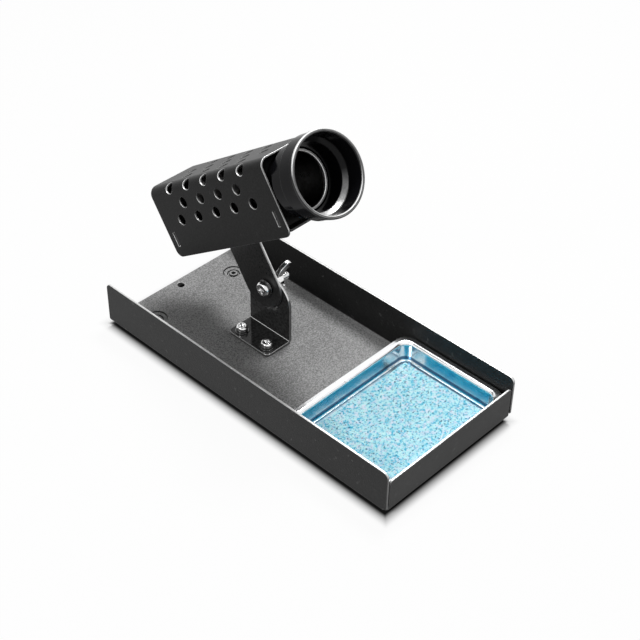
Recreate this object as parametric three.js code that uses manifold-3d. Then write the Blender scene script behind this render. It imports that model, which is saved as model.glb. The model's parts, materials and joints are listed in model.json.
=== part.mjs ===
// Soldering iron stand: a folded steel base with a sponge dish at the front and a tilting,
// perforated iron holder on an angle bracket behind it.
//
// Frame: millimetres, +Z up. The origin is the centre of the footprint, on the surface the
// rubber feet stand on. -Y is the front (sponge and mouth), +X is the clamp's wing nut side.

import * as THREE from 'three';
import { mergeVertices } from 'three/addons/utils/BufferGeometryUtils.js';
import Module from 'manifold-3d';

const wasm = await Module();
wasm.setup();

// ---------------------------------------------------------------- driving dimensions

// Clearances
const SEAT_GAP = 0.3; // between pieces that seat on each other in the tilted holder
const HOLE_GAP = 0.3; // radial, between a shank and its hole
const RUN_GAP = 0.3; // between pieces that move on each other
const LIFT_GAP = 0.2; // under a piece that simply rests in another

// Folded base sheet
const BASE_W = 90;
const BASE_L = 192;
const BASE_T = 1.2;
const BASE_BEND = 1;
const SIDE_H = 24.5;
const SIDE_CORNER = 3;
const FRONT_H = 19;
const FRONT_CORNER = 2;
const FRONT_SLIT = 0.8; // open seam between the front panel and each side flange
const REAR_HOLE_R = 2;
const REAR_HOLE_INSET = 4.7;

// Rubber feet and the stamped, stepped dimples that they plug into
const FOOT_H = 3.5; // how far the feet hold the sheet off the table
const FOOT_R = 5.6;
const FOOT_INSET_X = 17.8;
const FOOT_INSET_Y = 16.5;
const FOOT_SHANK_R = 1.4;
const FOOT_PLUG_R = 2.4;
const FOOT_PLUG_H = 0.8;
const DIMPLE_R = 5.8;
const DIMPLE_INNER_R = 3.6;
const DIMPLE_STEP = 0.7; // depth of each of the two steps
const DIMPLE_SLOPE = 0.5; // how far each step's wall leans in

// Angle bracket that carries the holder
const BRACKET_T = 1.5;
const BRACKET_BEND = 1;
const BRACKET_W = 28.5;
const BRACKET_FOOT = 17.4;
const BRACKET_EAR = 6; // pivot to the top of the arch
const BRACKET_CORNER = 2.5;
const BRACKET_Y = 30.5; // middle of the bracket along the base
const BRACKET_FACE_X = 6.6; // face that the arm lies against

// Bracket screws (M3 pan head, flat and spring washer, hex nut)
const SCREW_SHANK_R = 1.45;
const SCREW_HEAD_R = 3;
const SCREW_HEAD_H = 2.2;
const SCREW_TIP_GAP = 0.3; // the shank ends this far inside the nut's face
const SCREW_FROM_EDGE = 4.9; // from the bracket foot's free edge
const SCREW_FROM_SIDE = 5.25; // from the bracket's front and rear edges
const FLAT_WASHER_R = 3.6;
const FLAT_WASHER_T = 0.5;
const SPRING_WASHER_R = 3;
const SPRING_WASHER_T = 0.8;
const SPRING_WASHER_SLIT = 0.6;
const NUT_FLATS = 5.5;
const NUT_H = 2.3;

// Pivot bolt (M4), its washers and the wing nut
const PIVOT_H = 31; // above the underside of the base sheet
const BOLT_SHANK_R = 1.9;
const BOLT_HEAD_R = 4;
const BOLT_HEAD_H = 3;
const BOLT_PROUD = 5.2; // how far the bolt stands out of the wing nut
const BOLT_WASHER_R = 4.5;
const BOLT_WASHER_T = 0.8;
const WING_HUB_R = 4;
const WING_HUB_TOP_R = 3.4;
const WING_HUB_H = 4.6;
const WING_SPAN = 21.2;
const WING_H = 9.9;
const WING_T = 2.3;
const WING_TIP_R = 2.1;
const WING_TURN = 12; // degrees, how the wings stand at rest

// Iron holder
const TILT = 34.3; // degrees that the holder's axis rises towards the mouth
const HOLDER_RISE = 29.6; // pivot to the cover's lower edge
const HOLDER_REAR = 28.6; // pivot to the cover's rear end, along the holder
const COVER_L = 96;
const COVER_T = 1;
const COVER_BEND = 3.7;
const COVER_CORNER = 4;
const VENT_R = 2.75;
const VENT_PITCH = 15.4;
const VENT_ROW_PITCH = 8.25;
const VENTS_IN_LONG_ROW = 5;
const VENT_ROWS = 9;
const TAB_INSET = 5; // bulkhead centre from the cover's end
const TAB_LOW = 5.9;
const TAB_LENGTH = 7.2;
const FLOOR_LIFT = 1.9; // cover's lower edge to the floor plate's underside
const FLOOR_T = 1.2;
const BULKHEAD_T = 1.2;
const FOOT_TAB_W = 9;

// Arm between the holder and the bracket
const ARM_T = 1.5;
const ARM_BEND = 1;
const ARM_W = 26;
const ARM_FLANGE = 17;
const ARM_OFFSET = 3.2; // middle of the strap behind the pivot
const ARM_END_DROP = 11.4; // pivot to the strap's lowest point
const ARM_CORNER = 2.5;
const RIVET_SHANK_R = 1.5;
const RIVET_HEAD_R = 3;
const RIVET_HEAD_H = 1.3;
const RIVET_FROM_EDGE = 7.5; // from the arm flange's free edge
const RIVET_FROM_SIDE = 6; // from the arm's front and rear edges

// Liner tube and mouth cup, both turned about the bore's axis
const LINER_BORE_R = 13.1;
const LINER_WALL = 0.8;
const LINER_LAP = 0.4; // how far the flange laps over the cup's bottom
const LINER_FLANGE_T = 1.2;
const LINER_TAIL = 2; // how far the tube stops short of the cover's rear end
const CUP_NECK_WALL = 1.1;
const CUP_NECK_FRONT = 2;
const CUP_BOTTOM_T = 4.4;
const CUP_TAPER = 1.1; // how much the throat opens from the liner to the step
const CUP_BODY_WALL = 1.4;
const CUP_STEP = 11.5; // inner and outer step, in front of the cover
const CUP_STEP_W = 2;
const CUP_BARREL_WALL = 1.9;
const CUP_FLARE = 0.6;
const CUP_LIP_T = 2.3;
const CUP_LIP_LEDGE = 0.45;
const CUP_REACH = 21.7; // how far the lip stands in front of the cover
const CUP_FILLET = 0.6;

// Room that the cover leaves round the cup's neck
const NECK_SIDE_GAP = 0.7;
const NECK_TOP_GAP = 0.9;
const NECK_FLOOR_GAP = 1.9;

// Sponge dish and sponge
const DISH_L = 65.5;
const DISH_H = 12;
const DISH_T = 0.8;
const DISH_RIM = 3.9;
const DISH_CORNER = 7;
const DISH_SIDE_GAP = 0.6;
const DISH_FRONT_GAP = 0.5;
const SPONGE_H = 6.3;
const SPONGE_GAP = 0.7; // to the dish's front and left walls, which it is pushed against
const SPONGE_SIDE_SLACK = 7.9;
const SPONGE_REAR_SLACK = 7;
const SPONGE_CORNER = 1.2;
const SPONGE_CORNER_EASE = 1.5; // how much tighter its front left corner is than the dish's

// Facets on round shapes
const FINE = 40;
const ROUND = 24;
const SMALL = 16;
const BEND_STEPS = 5;

// ---------------------------------------------------------------- derived places

const floorTop = FOOT_H + BASE_T;
const pivotZ = FOOT_H + PIVOT_H;
const bracketTop = floorTop + BRACKET_T;
const bracketH = PIVOT_H - BASE_T + BRACKET_EAR;
const bracketOuterX = BRACKET_FACE_X + BRACKET_T;
const armOuterX = BRACKET_FACE_X - RUN_GAP - ARM_T;
const boltHeadX = armOuterX - RUN_GAP - BOLT_WASHER_T;
const clampWasherX = bracketOuterX + RUN_GAP;
const wingNutX = clampWasherX + BOLT_WASHER_T + RUN_GAP;

// Holder frame: origin on the pivot, +Y towards the rear end, +Z away from the pivot
const coverFrontY = HOLDER_REAR - COVER_L;
const coverMidY = HOLDER_REAR - COVER_L / 2;
const floorUnder = HOLDER_RISE + FLOOR_LIFT;
const floorUpper = floorUnder + FLOOR_T;
const armTop = floorUnder - SEAT_GAP;
const frontBulkheadY = coverFrontY + TAB_INSET;
const rearBulkheadY = HOLDER_REAR - TAB_INSET;
const linerR = LINER_BORE_R + LINER_WALL;
const linerHoleR = linerR + HOLE_GAP;
const linerFlangeR = linerHoleR + LINER_LAP;
const neckR = linerHoleR + CUP_NECK_WALL;
const boreZ = floorUpper + NECK_FLOOR_GAP + neckR;
const innerHalfW = neckR + NECK_SIDE_GAP;
const coverW = 2 * (innerHalfW + COVER_T);
const coverTop = boreZ + neckR + NECK_TOP_GAP + COVER_T;
const coverH = coverTop - HOLDER_RISE;

const dishW = BASE_W - 2 * BASE_T - 2 * DISH_SIDE_GAP;
const dishFrontY = -BASE_L / 2 + BASE_T + DISH_FRONT_GAP;
const dishMidY = dishFrontY + DISH_L / 2;
const dishUnder = floorTop + LIFT_GAP;
const wellW = dishW - 2 * DISH_RIM;
const wellL = DISH_L - 2 * DISH_RIM;
const wellR = DISH_CORNER - DISH_RIM / 2;

// ---------------------------------------------------------------- materials

function finish(color, roughness, metalness) {
  return new THREE.MeshStandardMaterial({ color, roughness, metalness });
}

const finishes = {
  blackPaint: finish(0x1b1b1c, 0.5, 0.1),
  coverPaint: finish(0x262627, 0.45, 0.1),
  glossBlack: finish(0x0d0d0e, 0.15, 0),
  bareSteel: finish(0x8f9193, 0.3, 1),
  brightZinc: finish(0xd8dadc, 0.25, 1),
  stainless: finish(0xd2d4d6, 0.2, 1),
  rubber: finish(0x151515, 0.85, 0),
  sponge: finish(0x7fcbea, 0.95, 0),
};

// ---------------------------------------------------------------- geometry helpers

const X = new THREE.Vector3(1, 0, 0);
const Y = new THREE.Vector3(0, 1, 0);
const Z = new THREE.Vector3(0, 0, 1);

// Turns a closed geometry into a solid with its faces pointing out.
function solidOf(geometry) {
  const bare = geometry.clone();
  bare.deleteAttribute('normal');
  bare.deleteAttribute('uv');
  const merged = mergeVertices(bare, 1e-4);
  const corner = merged.attributes.position;
  const index = merged.index.array;
  const triangles = [];
  let volume = 0;
  const [a, b, c] = [new THREE.Vector3(), new THREE.Vector3(), new THREE.Vector3()];
  for (let i = 0; i < index.length; i += 3) {
    const [p, q, r] = index.slice(i, i + 3);
    if (p === q || q === r || r === p) continue;
    triangles.push([p, q, r]);
    a.fromBufferAttribute(corner, p);
    b.fromBufferAttribute(corner, q);
    c.fromBufferAttribute(corner, r);
    volume += a.dot(b.cross(c));
  }
  const outward = volume > 0 ? triangles : triangles.map(([p, q, r]) => [p, r, q]);
  const mesh = new wasm.Mesh({
    numProp: 3,
    vertProperties: new Float32Array(corner.array),
    triVerts: new Uint32Array(outward.flat()),
  });
  return new wasm.Manifold(mesh);
}

// Gives a solid back as a named three.js mesh.
function meshOf(name, solid, material) {
  const { numProp, vertProperties, triVerts } = solid.getMesh();
  const geometry = new THREE.BufferGeometry();
  const position = [];
  for (let i = 0; i < vertProperties.length; i += numProp) {
    position.push(...vertProperties.slice(i, i + 3));
  }
  geometry.setAttribute('position', new THREE.Float32BufferAttribute(position, 3));
  geometry.setIndex([...triVerts]);
  geometry.computeVertexNormals();
  const mesh = new THREE.Mesh(geometry, material);
  mesh.name = name;
  return mesh;
}

// Extrudes a shape from `from` to `to` along an axis. Along X the shape is drawn in (Y, Z),
// along Y in (X, Z) and along Z in (X, Y).
function extruded(shape, axis, from, to, curveSegments = BEND_STEPS) {
  const depth = to - from;
  const geometry = new THREE.ExtrudeGeometry(shape, { depth, bevelEnabled: false, curveSegments });
  const turn = new THREE.Matrix4();
  if (axis === X) turn.makeBasis(Y, Z, X);
  if (axis === Y) turn.makeBasis(X, Z, Y.clone().negate());
  geometry.applyMatrix4(turn);
  const start = axis === Y ? to : from;
  geometry.translate(axis.x * start, axis.y * start, axis.z * start);
  return solidOf(geometry);
}

// Turns a profile of [radius, height] pairs about an axis through the given centre.
function turned(profile, axis, centre = [0, 0, 0], segments = ROUND) {
  const points = profile.map(([radius, height]) => new THREE.Vector2(radius, height));
  const geometry = new THREE.LatheGeometry(points, segments);
  geometry.applyQuaternion(new THREE.Quaternion().setFromUnitVectors(Y, axis));
  geometry.translate(...centre);
  return solidOf(geometry);
}

// A plain rod between two heights along an axis, for shanks and for cutting holes.
function rod(radius, axis, centre, low, high, segments = ROUND) {
  const profile = [[0, low], [radius, low], [radius, high], [0, high]];
  return turned(profile, axis, centre, segments);
}

function block(size, centre) {
  const geometry = new THREE.BoxGeometry(...size);
  geometry.translate(...centre);
  return solidOf(geometry);
}

// Rectangle centred on (cx, cy) whose four corners can each have their own radius, listed
// from the low corner round anticlockwise.
function roundedRect(width, height, cx, cy, radii) {
  const [a, b, c, d] = Array.isArray(radii) ? radii : [radii, radii, radii, radii];
  const [x0, x1] = [cx - width / 2, cx + width / 2];
  const [y0, y1] = [cy - height / 2, cy + height / 2];
  const shape = new THREE.Shape();
  shape.moveTo(x0 + a, y0);
  shape.lineTo(x1 - b, y0);
  if (b) shape.absarc(x1 - b, y0 + b, b, -Math.PI / 2, 0, false);
  shape.lineTo(x1, y1 - c);
  if (c) shape.absarc(x1 - c, y1 - c, c, 0, Math.PI / 2, false);
  shape.lineTo(x0 + d, y1);
  if (d) shape.absarc(x0 + d, y1 - d, d, Math.PI / 2, Math.PI, false);
  shape.lineTo(x0, y0 + a);
  if (a) shape.absarc(x0 + a, y0 + a, a, Math.PI, 1.5 * Math.PI, false);
  return shape;
}

// Section of a sheet folded into a channel: its floor lies on height 0 and its walls rise.
function channelSection(width, height, thickness, bend) {
  const half = width / 2;
  const outer = bend + thickness;
  const shape = new THREE.Shape();
  shape.moveTo(-half, height);
  shape.lineTo(-half, outer);
  shape.absarc(-half + outer, outer, outer, Math.PI, 1.5 * Math.PI, false);
  shape.lineTo(half - outer, 0);
  shape.absarc(half - outer, outer, outer, 1.5 * Math.PI, 2 * Math.PI, false);
  shape.lineTo(half, height);
  shape.lineTo(half - thickness, height);
  shape.lineTo(half - thickness, outer);
  shape.absarc(half - outer, outer, bend, 0, -Math.PI / 2, true);
  shape.lineTo(-half + outer, thickness);
  shape.absarc(-half + outer, outer, bend, -Math.PI / 2, -Math.PI, true);
  shape.lineTo(-half + thickness, height);
  return shape;
}

// Section of a sheet folded into an angle: the outer corner is at the origin, one leg runs
// back along the first axis and the other rises along the second.
function angleSection(flatLeg, upLeg, thickness, bend) {
  const outer = bend + thickness;
  const shape = new THREE.Shape();
  shape.moveTo(-flatLeg, 0);
  shape.lineTo(-outer, 0);
  shape.absarc(-outer, outer, outer, -Math.PI / 2, 0, false);
  shape.lineTo(0, upLeg);
  shape.lineTo(-thickness, upLeg);
  shape.lineTo(-thickness, outer);
  shape.absarc(-outer, outer, bend, 0, -Math.PI / 2, true);
  shape.lineTo(-flatLeg, thickness);
  return shape;
}

// Strip outline with straight sides from `root` and a half-round end that reaches `tip`.
function archedOutline(width, middle, root, tip) {
  const way = Math.sign(tip - root);
  const half = width / 2;
  const shape = new THREE.Shape();
  shape.moveTo(middle - half, root);
  shape.lineTo(middle + half, root);
  shape.absarc(middle, tip - way * half, half, 0, way * Math.PI, way < 0);
  return shape;
}

function moved(solid, x, y, z) {
  return solid.translate([x, y, z]);
}

function cutAll(solid, tools) {
  return tools.reduce((left, tool) => left.subtract(tool), solid);
}

function joinAll(solids) {
  return solids.reduce((sum, solid) => sum.add(solid));
}

// Pan head with a cross recess, standing on height 0 along +Z above a plain shank.
function panHeadScrew(headR, headH, shankR, length) {
  const crown = headH * 0.55;
  const profile = [
    [0, -length],
    [shankR * 0.8, -length],
    [shankR, -length + shankR * 0.4],
    [shankR, 0],
    [headR * 0.94, 0],
    [headR, headH * 0.15],
    [headR, crown],
    [headR * 0.9, headH * 0.82],
    [headR * 0.6, headH],
    [0, headH],
  ];
  const slot = [headR * 1.1, headR * 0.26, headH * 0.9];
  const across = [slot[1], slot[0], slot[2]];
  return cutAll(turned(profile, Z), [block(slot, [0, 0, headH]), block(across, [0, 0, headH])]);
}

function ring(outerR, innerR, thickness, segments = ROUND) {
  const profile = [[innerR, 0], [outerR, 0], [outerR, thickness], [innerR, thickness], [innerR, 0]];
  return turned(profile, Z, [0, 0, 0], segments);
}

// ---------------------------------------------------------------- base and feet

const footPlaces = [
  ['foot_front_left', -1, -1],
  ['foot_front_right', 1, -1],
  ['foot_rear_left', -1, 1],
  ['foot_rear_right', 1, 1],
].map(([name, sideX, sideY]) => {
  const x = sideX * (BASE_W / 2 - FOOT_INSET_X);
  const y = sideY * (BASE_L / 2 - FOOT_INSET_Y);
  return { name, x, y };
});

const screwX = bracketOuterX - BRACKET_FOOT + SCREW_FROM_EDGE;
const screwReach = BRACKET_W / 2 - SCREW_FROM_SIDE;
const screwPlaces = [
  ['front', BRACKET_Y - screwReach],
  ['rear', BRACKET_Y + screwReach],
];

// Heights of the dimple's two steps, from the sheet's upper face down.
const dimpleFloor = floorTop - 2 * DIMPLE_STEP;
const dimpleUnder = dimpleFloor - BASE_T;

function dimpleBulge(x, y) {
  const innerUnder = DIMPLE_INNER_R + BASE_T * 0.6;
  const outerUnder = DIMPLE_R + BASE_T * 0.6;
  return turned([
    [0, dimpleUnder],
    [innerUnder - DIMPLE_SLOPE, dimpleUnder],
    [innerUnder, dimpleUnder + DIMPLE_STEP],
    [outerUnder - DIMPLE_SLOPE, dimpleUnder + DIMPLE_STEP],
    [outerUnder, FOOT_H],
    [outerUnder, FOOT_H + BASE_T / 2],
    [0, FOOT_H + BASE_T / 2],
  ], Z, [x, y, 0]);
}

function dimpleRecess(x, y) {
  return turned([
    [0, dimpleFloor],
    [DIMPLE_INNER_R - DIMPLE_SLOPE, dimpleFloor],
    [DIMPLE_INNER_R, dimpleFloor + DIMPLE_STEP],
    [DIMPLE_R - DIMPLE_SLOPE, dimpleFloor + DIMPLE_STEP],
    [DIMPLE_R, floorTop],
    [DIMPLE_R, floorTop + BASE_T],
    [0, floorTop + BASE_T],
  ], Z, [x, y, 0]);
}

function baseTray() {
  const front = -BASE_L / 2;
  const foldY = front + BASE_BEND + BASE_T;
  const foldZ = BASE_BEND + BASE_T;
  const channel = extruded(channelSection(BASE_W, SIDE_H, BASE_T, BASE_BEND), Y, front, BASE_L / 2);
  const corner = block([2 * BASE_W, 2 * (foldY - front), 2 * foldZ], [0, front, 0]);

  const panelW = BASE_W - 2 * BASE_T - 2 * FRONT_SLIT;
  const panelLeg = 2 * foldZ;
  const panelSection = angleSection(panelLeg, FRONT_H, BASE_T, BASE_BEND);
  const fold = extruded(panelSection, Y, -panelW / 2, panelW / 2).rotate([0, 0, -90]);
  const panelFace = roundedRect(panelW, FRONT_H, 0, FRONT_H / 2, [0, 0, FRONT_CORNER, FRONT_CORNER]);
  const panel = moved(fold, 0, front, 0).intersect(extruded(panelFace, Y, front - 1, BASE_L / 2));

  const side = roundedRect(BASE_L, SIDE_H, 0, SIDE_H / 2, [0, 0, SIDE_CORNER, SIDE_CORNER]);
  const outline = extruded(side, X, -BASE_W, BASE_W);
  const sheet = moved(channel.subtract(corner).add(panel).intersect(outline), 0, 0, FOOT_H);

  const bulges = footPlaces.map(({ x, y }) => dimpleBulge(x, y));
  const cuts = footPlaces.flatMap(({ x, y }) => [
    dimpleRecess(x, y),
    rod(FOOT_SHANK_R + HOLE_GAP, Z, [x, y, 0], 0, SIDE_H, SMALL),
  ]);
  const rearHoleY = BASE_L / 2 - REAR_HOLE_INSET;
  cuts.push(rod(REAR_HOLE_R, Z, [0, rearHoleY, 0], 0, SIDE_H));
  for (const [, y] of screwPlaces) {
    cuts.push(rod(SCREW_SHANK_R + HOLE_GAP, Z, [screwX, y, 0], 0, SIDE_H, SMALL));
  }
  return meshOf('base_tray', cutAll(joinAll([sheet, ...bulges]), cuts), finishes.blackPaint);
}

// One rubber foot: a pad below the sheet, a shank through it and a plug head on top.
function rubberFoot({ name, x, y }) {
  const padTop = dimpleUnder - SEAT_GAP;
  const headLow = dimpleFloor + SEAT_GAP;
  const headHigh = headLow + FOOT_PLUG_H;
  const edge = padTop * 0.3;
  const solid = turned([
    [0, 0],
    [FOOT_R - edge, 0],
    [FOOT_R, edge],
    [FOOT_R, padTop],
    [FOOT_SHANK_R, padTop],
    [FOOT_SHANK_R, headLow],
    [FOOT_PLUG_R, headLow],
    [FOOT_PLUG_R * 0.8, headHigh],
    [0, headHigh],
  ], Z, [0, 0, 0], SMALL);
  const mesh = meshOf(name, solid, finishes.rubber);
  mesh.position.set(x, y, 0);
  return mesh;
}

// ---------------------------------------------------------------- bracket and its screws

function angleBracket() {
  const section = angleSection(BRACKET_FOOT, bracketH, BRACKET_T, BRACKET_BEND);
  const half = BRACKET_W / 2;
  const angle = moved(extruded(section, Y, -half, half), bracketOuterX, BRACKET_Y, floorTop);
  const arch = archedOutline(BRACKET_W, BRACKET_Y, floorTop - 1, floorTop + bracketH);
  const footMidX = bracketOuterX - BRACKET_FOOT / 2;
  const plan = roundedRect(
    BRACKET_FOOT, BRACKET_W, footMidX, BRACKET_Y, [BRACKET_CORNER, 0, 0, BRACKET_CORNER],
  );
  const shaped = angle
    .intersect(extruded(arch, X, -BASE_W, BASE_W, SMALL))
    .intersect(extruded(plan, Z, 0, floorTop + 2 * bracketH));
  const holes = screwPlaces.map(([, y]) => (
    rod(SCREW_SHANK_R + HOLE_GAP, Z, [screwX, y, 0], 0, bracketTop + 1, SMALL)
  ));
  holes.push(rod(BOLT_SHANK_R + HOLE_GAP, X, [0, BRACKET_Y, pivotZ], 0, 2 * bracketOuterX, SMALL));
  return meshOf('bracket', cutAll(shaped, holes), finishes.blackPaint);
}

function bracketFasteners([place, y]) {
  const group = new THREE.Group();
  group.position.set(screwX, y, 0);
  const washerBore = SCREW_SHANK_R + HOLE_GAP;
  const springZ = bracketTop + FLAT_WASHER_T;
  const headZ = springZ + SPRING_WASHER_T;

  const flat = meshOf(
    `screw_washer_${place}`, ring(FLAT_WASHER_R, washerBore, FLAT_WASHER_T), finishes.brightZinc,
  );
  flat.position.z = bracketTop;

  const slitSize = [SPRING_WASHER_R * 2, SPRING_WASHER_SLIT, SPRING_WASHER_T * 4];
  const slit = block(slitSize, [SPRING_WASHER_R, 0, 0]);
  const split = ring(SPRING_WASHER_R, washerBore, SPRING_WASHER_T).subtract(slit);
  const spring = meshOf(`spring_washer_${place}`, split, finishes.brightZinc);
  spring.position.z = springZ;

  const length = headZ - FOOT_H + NUT_H - SCREW_TIP_GAP;
  const screwSolid = panHeadScrew(SCREW_HEAD_R, SCREW_HEAD_H, SCREW_SHANK_R, length);
  const screw = meshOf(`bracket_screw_${place}`, screwSolid, finishes.brightZinc);
  screw.position.z = headZ;

  const hex = [...Array(6).keys()].map((i) => {
    const angle = (i * Math.PI) / 3;
    const reach = NUT_FLATS / Math.sqrt(3);
    return new THREE.Vector2(reach * Math.cos(angle), reach * Math.sin(angle));
  });
  const nutSolid = extruded(new THREE.Shape(hex), Z, 0, NUT_H)
    .subtract(rod(washerBore, Z, [0, 0, 0], -1, NUT_H + 1, SMALL));
  const nut = meshOf(`bracket_nut_${place}`, nutSolid, finishes.brightZinc);
  nut.position.z = FOOT_H - NUT_H;

  group.add(flat, spring, screw, nut);
  return group;
}

// ---------------------------------------------------------------- pivot bolt and wing nut

function pivotBolt() {
  const length = wingNutX + WING_HUB_H + BOLT_PROUD - boltHeadX;
  const solid = panHeadScrew(BOLT_HEAD_R, BOLT_HEAD_H, BOLT_SHANK_R, length);
  const mesh = meshOf('pivot_bolt', solid, finishes.brightZinc);
  mesh.position.set(boltHeadX, BRACKET_Y, pivotZ);
  mesh.rotation.y = -Math.PI / 2;
  return mesh;
}

function boltWasher(name, x) {
  const solid = ring(BOLT_WASHER_R, BOLT_SHANK_R + HOLE_GAP, BOLT_WASHER_T);
  const mesh = meshOf(name, solid, finishes.brightZinc);
  mesh.position.set(x, BRACKET_Y, pivotZ);
  mesh.rotation.y = Math.PI / 2;
  return mesh;
}

// One ear of the wing nut, in the plane of its axis: it flares out and forward to a round tip.
function wingEar() {
  const reach = WING_SPAN / 2;
  const tipX = reach - WING_TIP_R;
  const tipY = WING_H - WING_TIP_R;
  const root = WING_HUB_TOP_R * 0.8;
  const shape = new THREE.Shape();
  shape.moveTo(root, WING_HUB_H * 0.15);
  shape.lineTo(WING_HUB_R * 1.1, WING_HUB_H * 0.2);
  shape.quadraticCurveTo(reach * 0.85, WING_HUB_H * 0.5, reach, tipY);
  shape.absarc(tipX, tipY, WING_TIP_R, 0, Math.PI, false);
  shape.quadraticCurveTo(WING_HUB_R * 1.25, WING_HUB_H * 1.25, root, WING_HUB_H * 0.98);
  return extruded(shape, Y, -WING_T / 2, WING_T / 2, BEND_STEPS);
}

function wingNut() {
  const chamfer = WING_HUB_R * 0.12;
  const hub = turned([
    [0, 0],
    [WING_HUB_R - chamfer, 0],
    [WING_HUB_R, chamfer],
    [WING_HUB_TOP_R, WING_HUB_H],
    [0, WING_HUB_H],
  ], Z);
  const bore = rod(BOLT_SHANK_R + HOLE_GAP, Z, [0, 0, 0], -1, WING_H + 1, SMALL);
  const solid = joinAll([hub, wingEar(), wingEar().rotate([0, 0, 180])]).subtract(bore);
  const mesh = meshOf('wing_nut', solid, finishes.brightZinc);
  mesh.rotation.y = Math.PI / 2;
  const group = new THREE.Group();
  group.position.set(wingNutX, BRACKET_Y, pivotZ);
  group.rotation.x = THREE.MathUtils.degToRad(WING_TURN);
  group.add(mesh);
  return group;
}

// ---------------------------------------------------------------- tilting holder

// A vent's place and outward direction, from its distance round the cover's section: 0 is the
// middle of the top, and the distance runs over the bend and down the side wall.
function ventPose(distance) {
  const side = Math.sign(distance);
  const flat = innerHalfW - COVER_BEND;
  const middle = COVER_BEND + COVER_T / 2;
  const arc = (middle * Math.PI) / 2;
  const past = Math.abs(distance) - flat;
  if (past <= 0) return { x: distance, z: coverTop - COVER_T / 2, out: Z.clone() };
  if (past >= arc) {
    const z = coverTop - COVER_BEND - COVER_T - (past - arc);
    return { x: side * (innerHalfW + COVER_T / 2), z, out: X.clone().multiplyScalar(side) };
  }
  const angle = past / middle;
  const out = new THREE.Vector3(side * Math.sin(angle), 0, Math.cos(angle));
  const x = side * (flat + middle * Math.sin(angle));
  const z = coverTop - COVER_BEND - COVER_T + middle * Math.cos(angle);
  return { x, z, out };
}

function ventCutters() {
  const lastRow = (VENT_ROWS - 1) / 2;
  const cutters = [];
  for (let row = -lastRow; row <= lastRow; row += 1) {
    const count = VENTS_IN_LONG_ROW - Math.abs(row % 2);
    const { x, z, out } = ventPose(row * VENT_ROW_PITCH);
    for (let i = 0; i < count; i += 1) {
      const y = coverMidY + (i - (count - 1) / 2) * VENT_PITCH;
      cutters.push(rod(VENT_R, out, [x, y, z], -2 * COVER_T, 2 * COVER_T, SMALL));
    }
  }
  return cutters;
}

// Boxes round the bulkheads' side tabs, grown by a gap: the slots in the cover's walls.
function tabBlocks(y, gap) {
  const reach = COVER_T + SEAT_GAP;
  const size = [reach + 2 * gap, BULKHEAD_T + 2 * gap, TAB_LENGTH + 2 * gap];
  const z = HOLDER_RISE + TAB_LOW + TAB_LENGTH / 2;
  const x = coverW / 2 - reach / 2;
  return [block(size, [x, y, z]), block(size, [-x, y, z])];
}

function cover() {
  const section = channelSection(coverW, coverH, COVER_T, COVER_BEND);
  const upright = extruded(section, Y, coverFrontY, HOLDER_REAR);
  const channel = moved(upright.rotate([0, 180, 0]), 0, 0, coverTop);
  const side = roundedRect(
    COVER_L, coverH, coverMidY, coverTop - coverH / 2, [COVER_CORNER, COVER_CORNER, 0, 0],
  );
  const slots = [frontBulkheadY, rearBulkheadY].flatMap((y) => tabBlocks(y, SEAT_GAP));
  const outline = extruded(side, X, -coverW, coverW);
  const solid = cutAll(channel.intersect(outline), [...ventCutters(), ...slots]);
  return meshOf('cover', solid, finishes.coverPaint);
}

const plateHalfW = innerHalfW - SEAT_GAP;

const rivetX = BRACKET_FACE_X - RUN_GAP - ARM_FLANGE + RIVET_FROM_EDGE;
const rivetReach = ARM_W / 2 - RIVET_FROM_SIDE;
const rivetPlaces = [
  ['arm_rivet_front', ARM_OFFSET - rivetReach],
  ['arm_rivet_rear', ARM_OFFSET + rivetReach],
];

function rivetHole(y) {
  return rod(RIVET_SHANK_R + HOLE_GAP, Z, [rivetX, y, 0], 0, boreZ, SMALL);
}

function floorPlate() {
  const plate = block([2 * plateHalfW, COVER_L, FLOOR_T], [0, coverMidY, floorUnder + FLOOR_T / 2]);
  const slots = [frontBulkheadY, rearBulkheadY].map((y) => {
    const size = [FOOT_TAB_W + 2 * SEAT_GAP, BULKHEAD_T + 2 * SEAT_GAP, 4 * FLOOR_T];
    return block(size, [0, y, floorUnder]);
  });
  const holes = rivetPlaces.map(([, y]) => rivetHole(y));
  return meshOf('holder_floor', cutAll(plate, [...slots, ...holes]), finishes.blackPaint);
}

// A bulkhead across the holder, held by tabs in the cover's walls and in the floor plate,
// with a round seat for the liner tube.
function bulkhead(name, y) {
  const low = floorUpper + SEAT_GAP;
  const high = coverTop - COVER_T - SEAT_GAP;
  const radius = COVER_BEND - SEAT_GAP;
  const outline = roundedRect(
    2 * plateHalfW, high - low, 0, (low + high) / 2, [0, 0, radius, radius],
  );
  const plate = extruded(outline, Y, y - BULKHEAD_T / 2, y + BULKHEAD_T / 2);
  const footTabH = low - floorUnder + FLOOR_T;
  const footTab = block([FOOT_TAB_W, BULKHEAD_T, footTabH], [0, y, floorUnder + footTabH / 2]);
  const seat = rod(linerHoleR, Y, [0, y, boreZ], -BULKHEAD_T, BULKHEAD_T, FINE);
  const solid = joinAll([plate, footTab, ...tabBlocks(y, 0)]).subtract(seat);
  return meshOf(name, solid, finishes.blackPaint);
}

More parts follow.
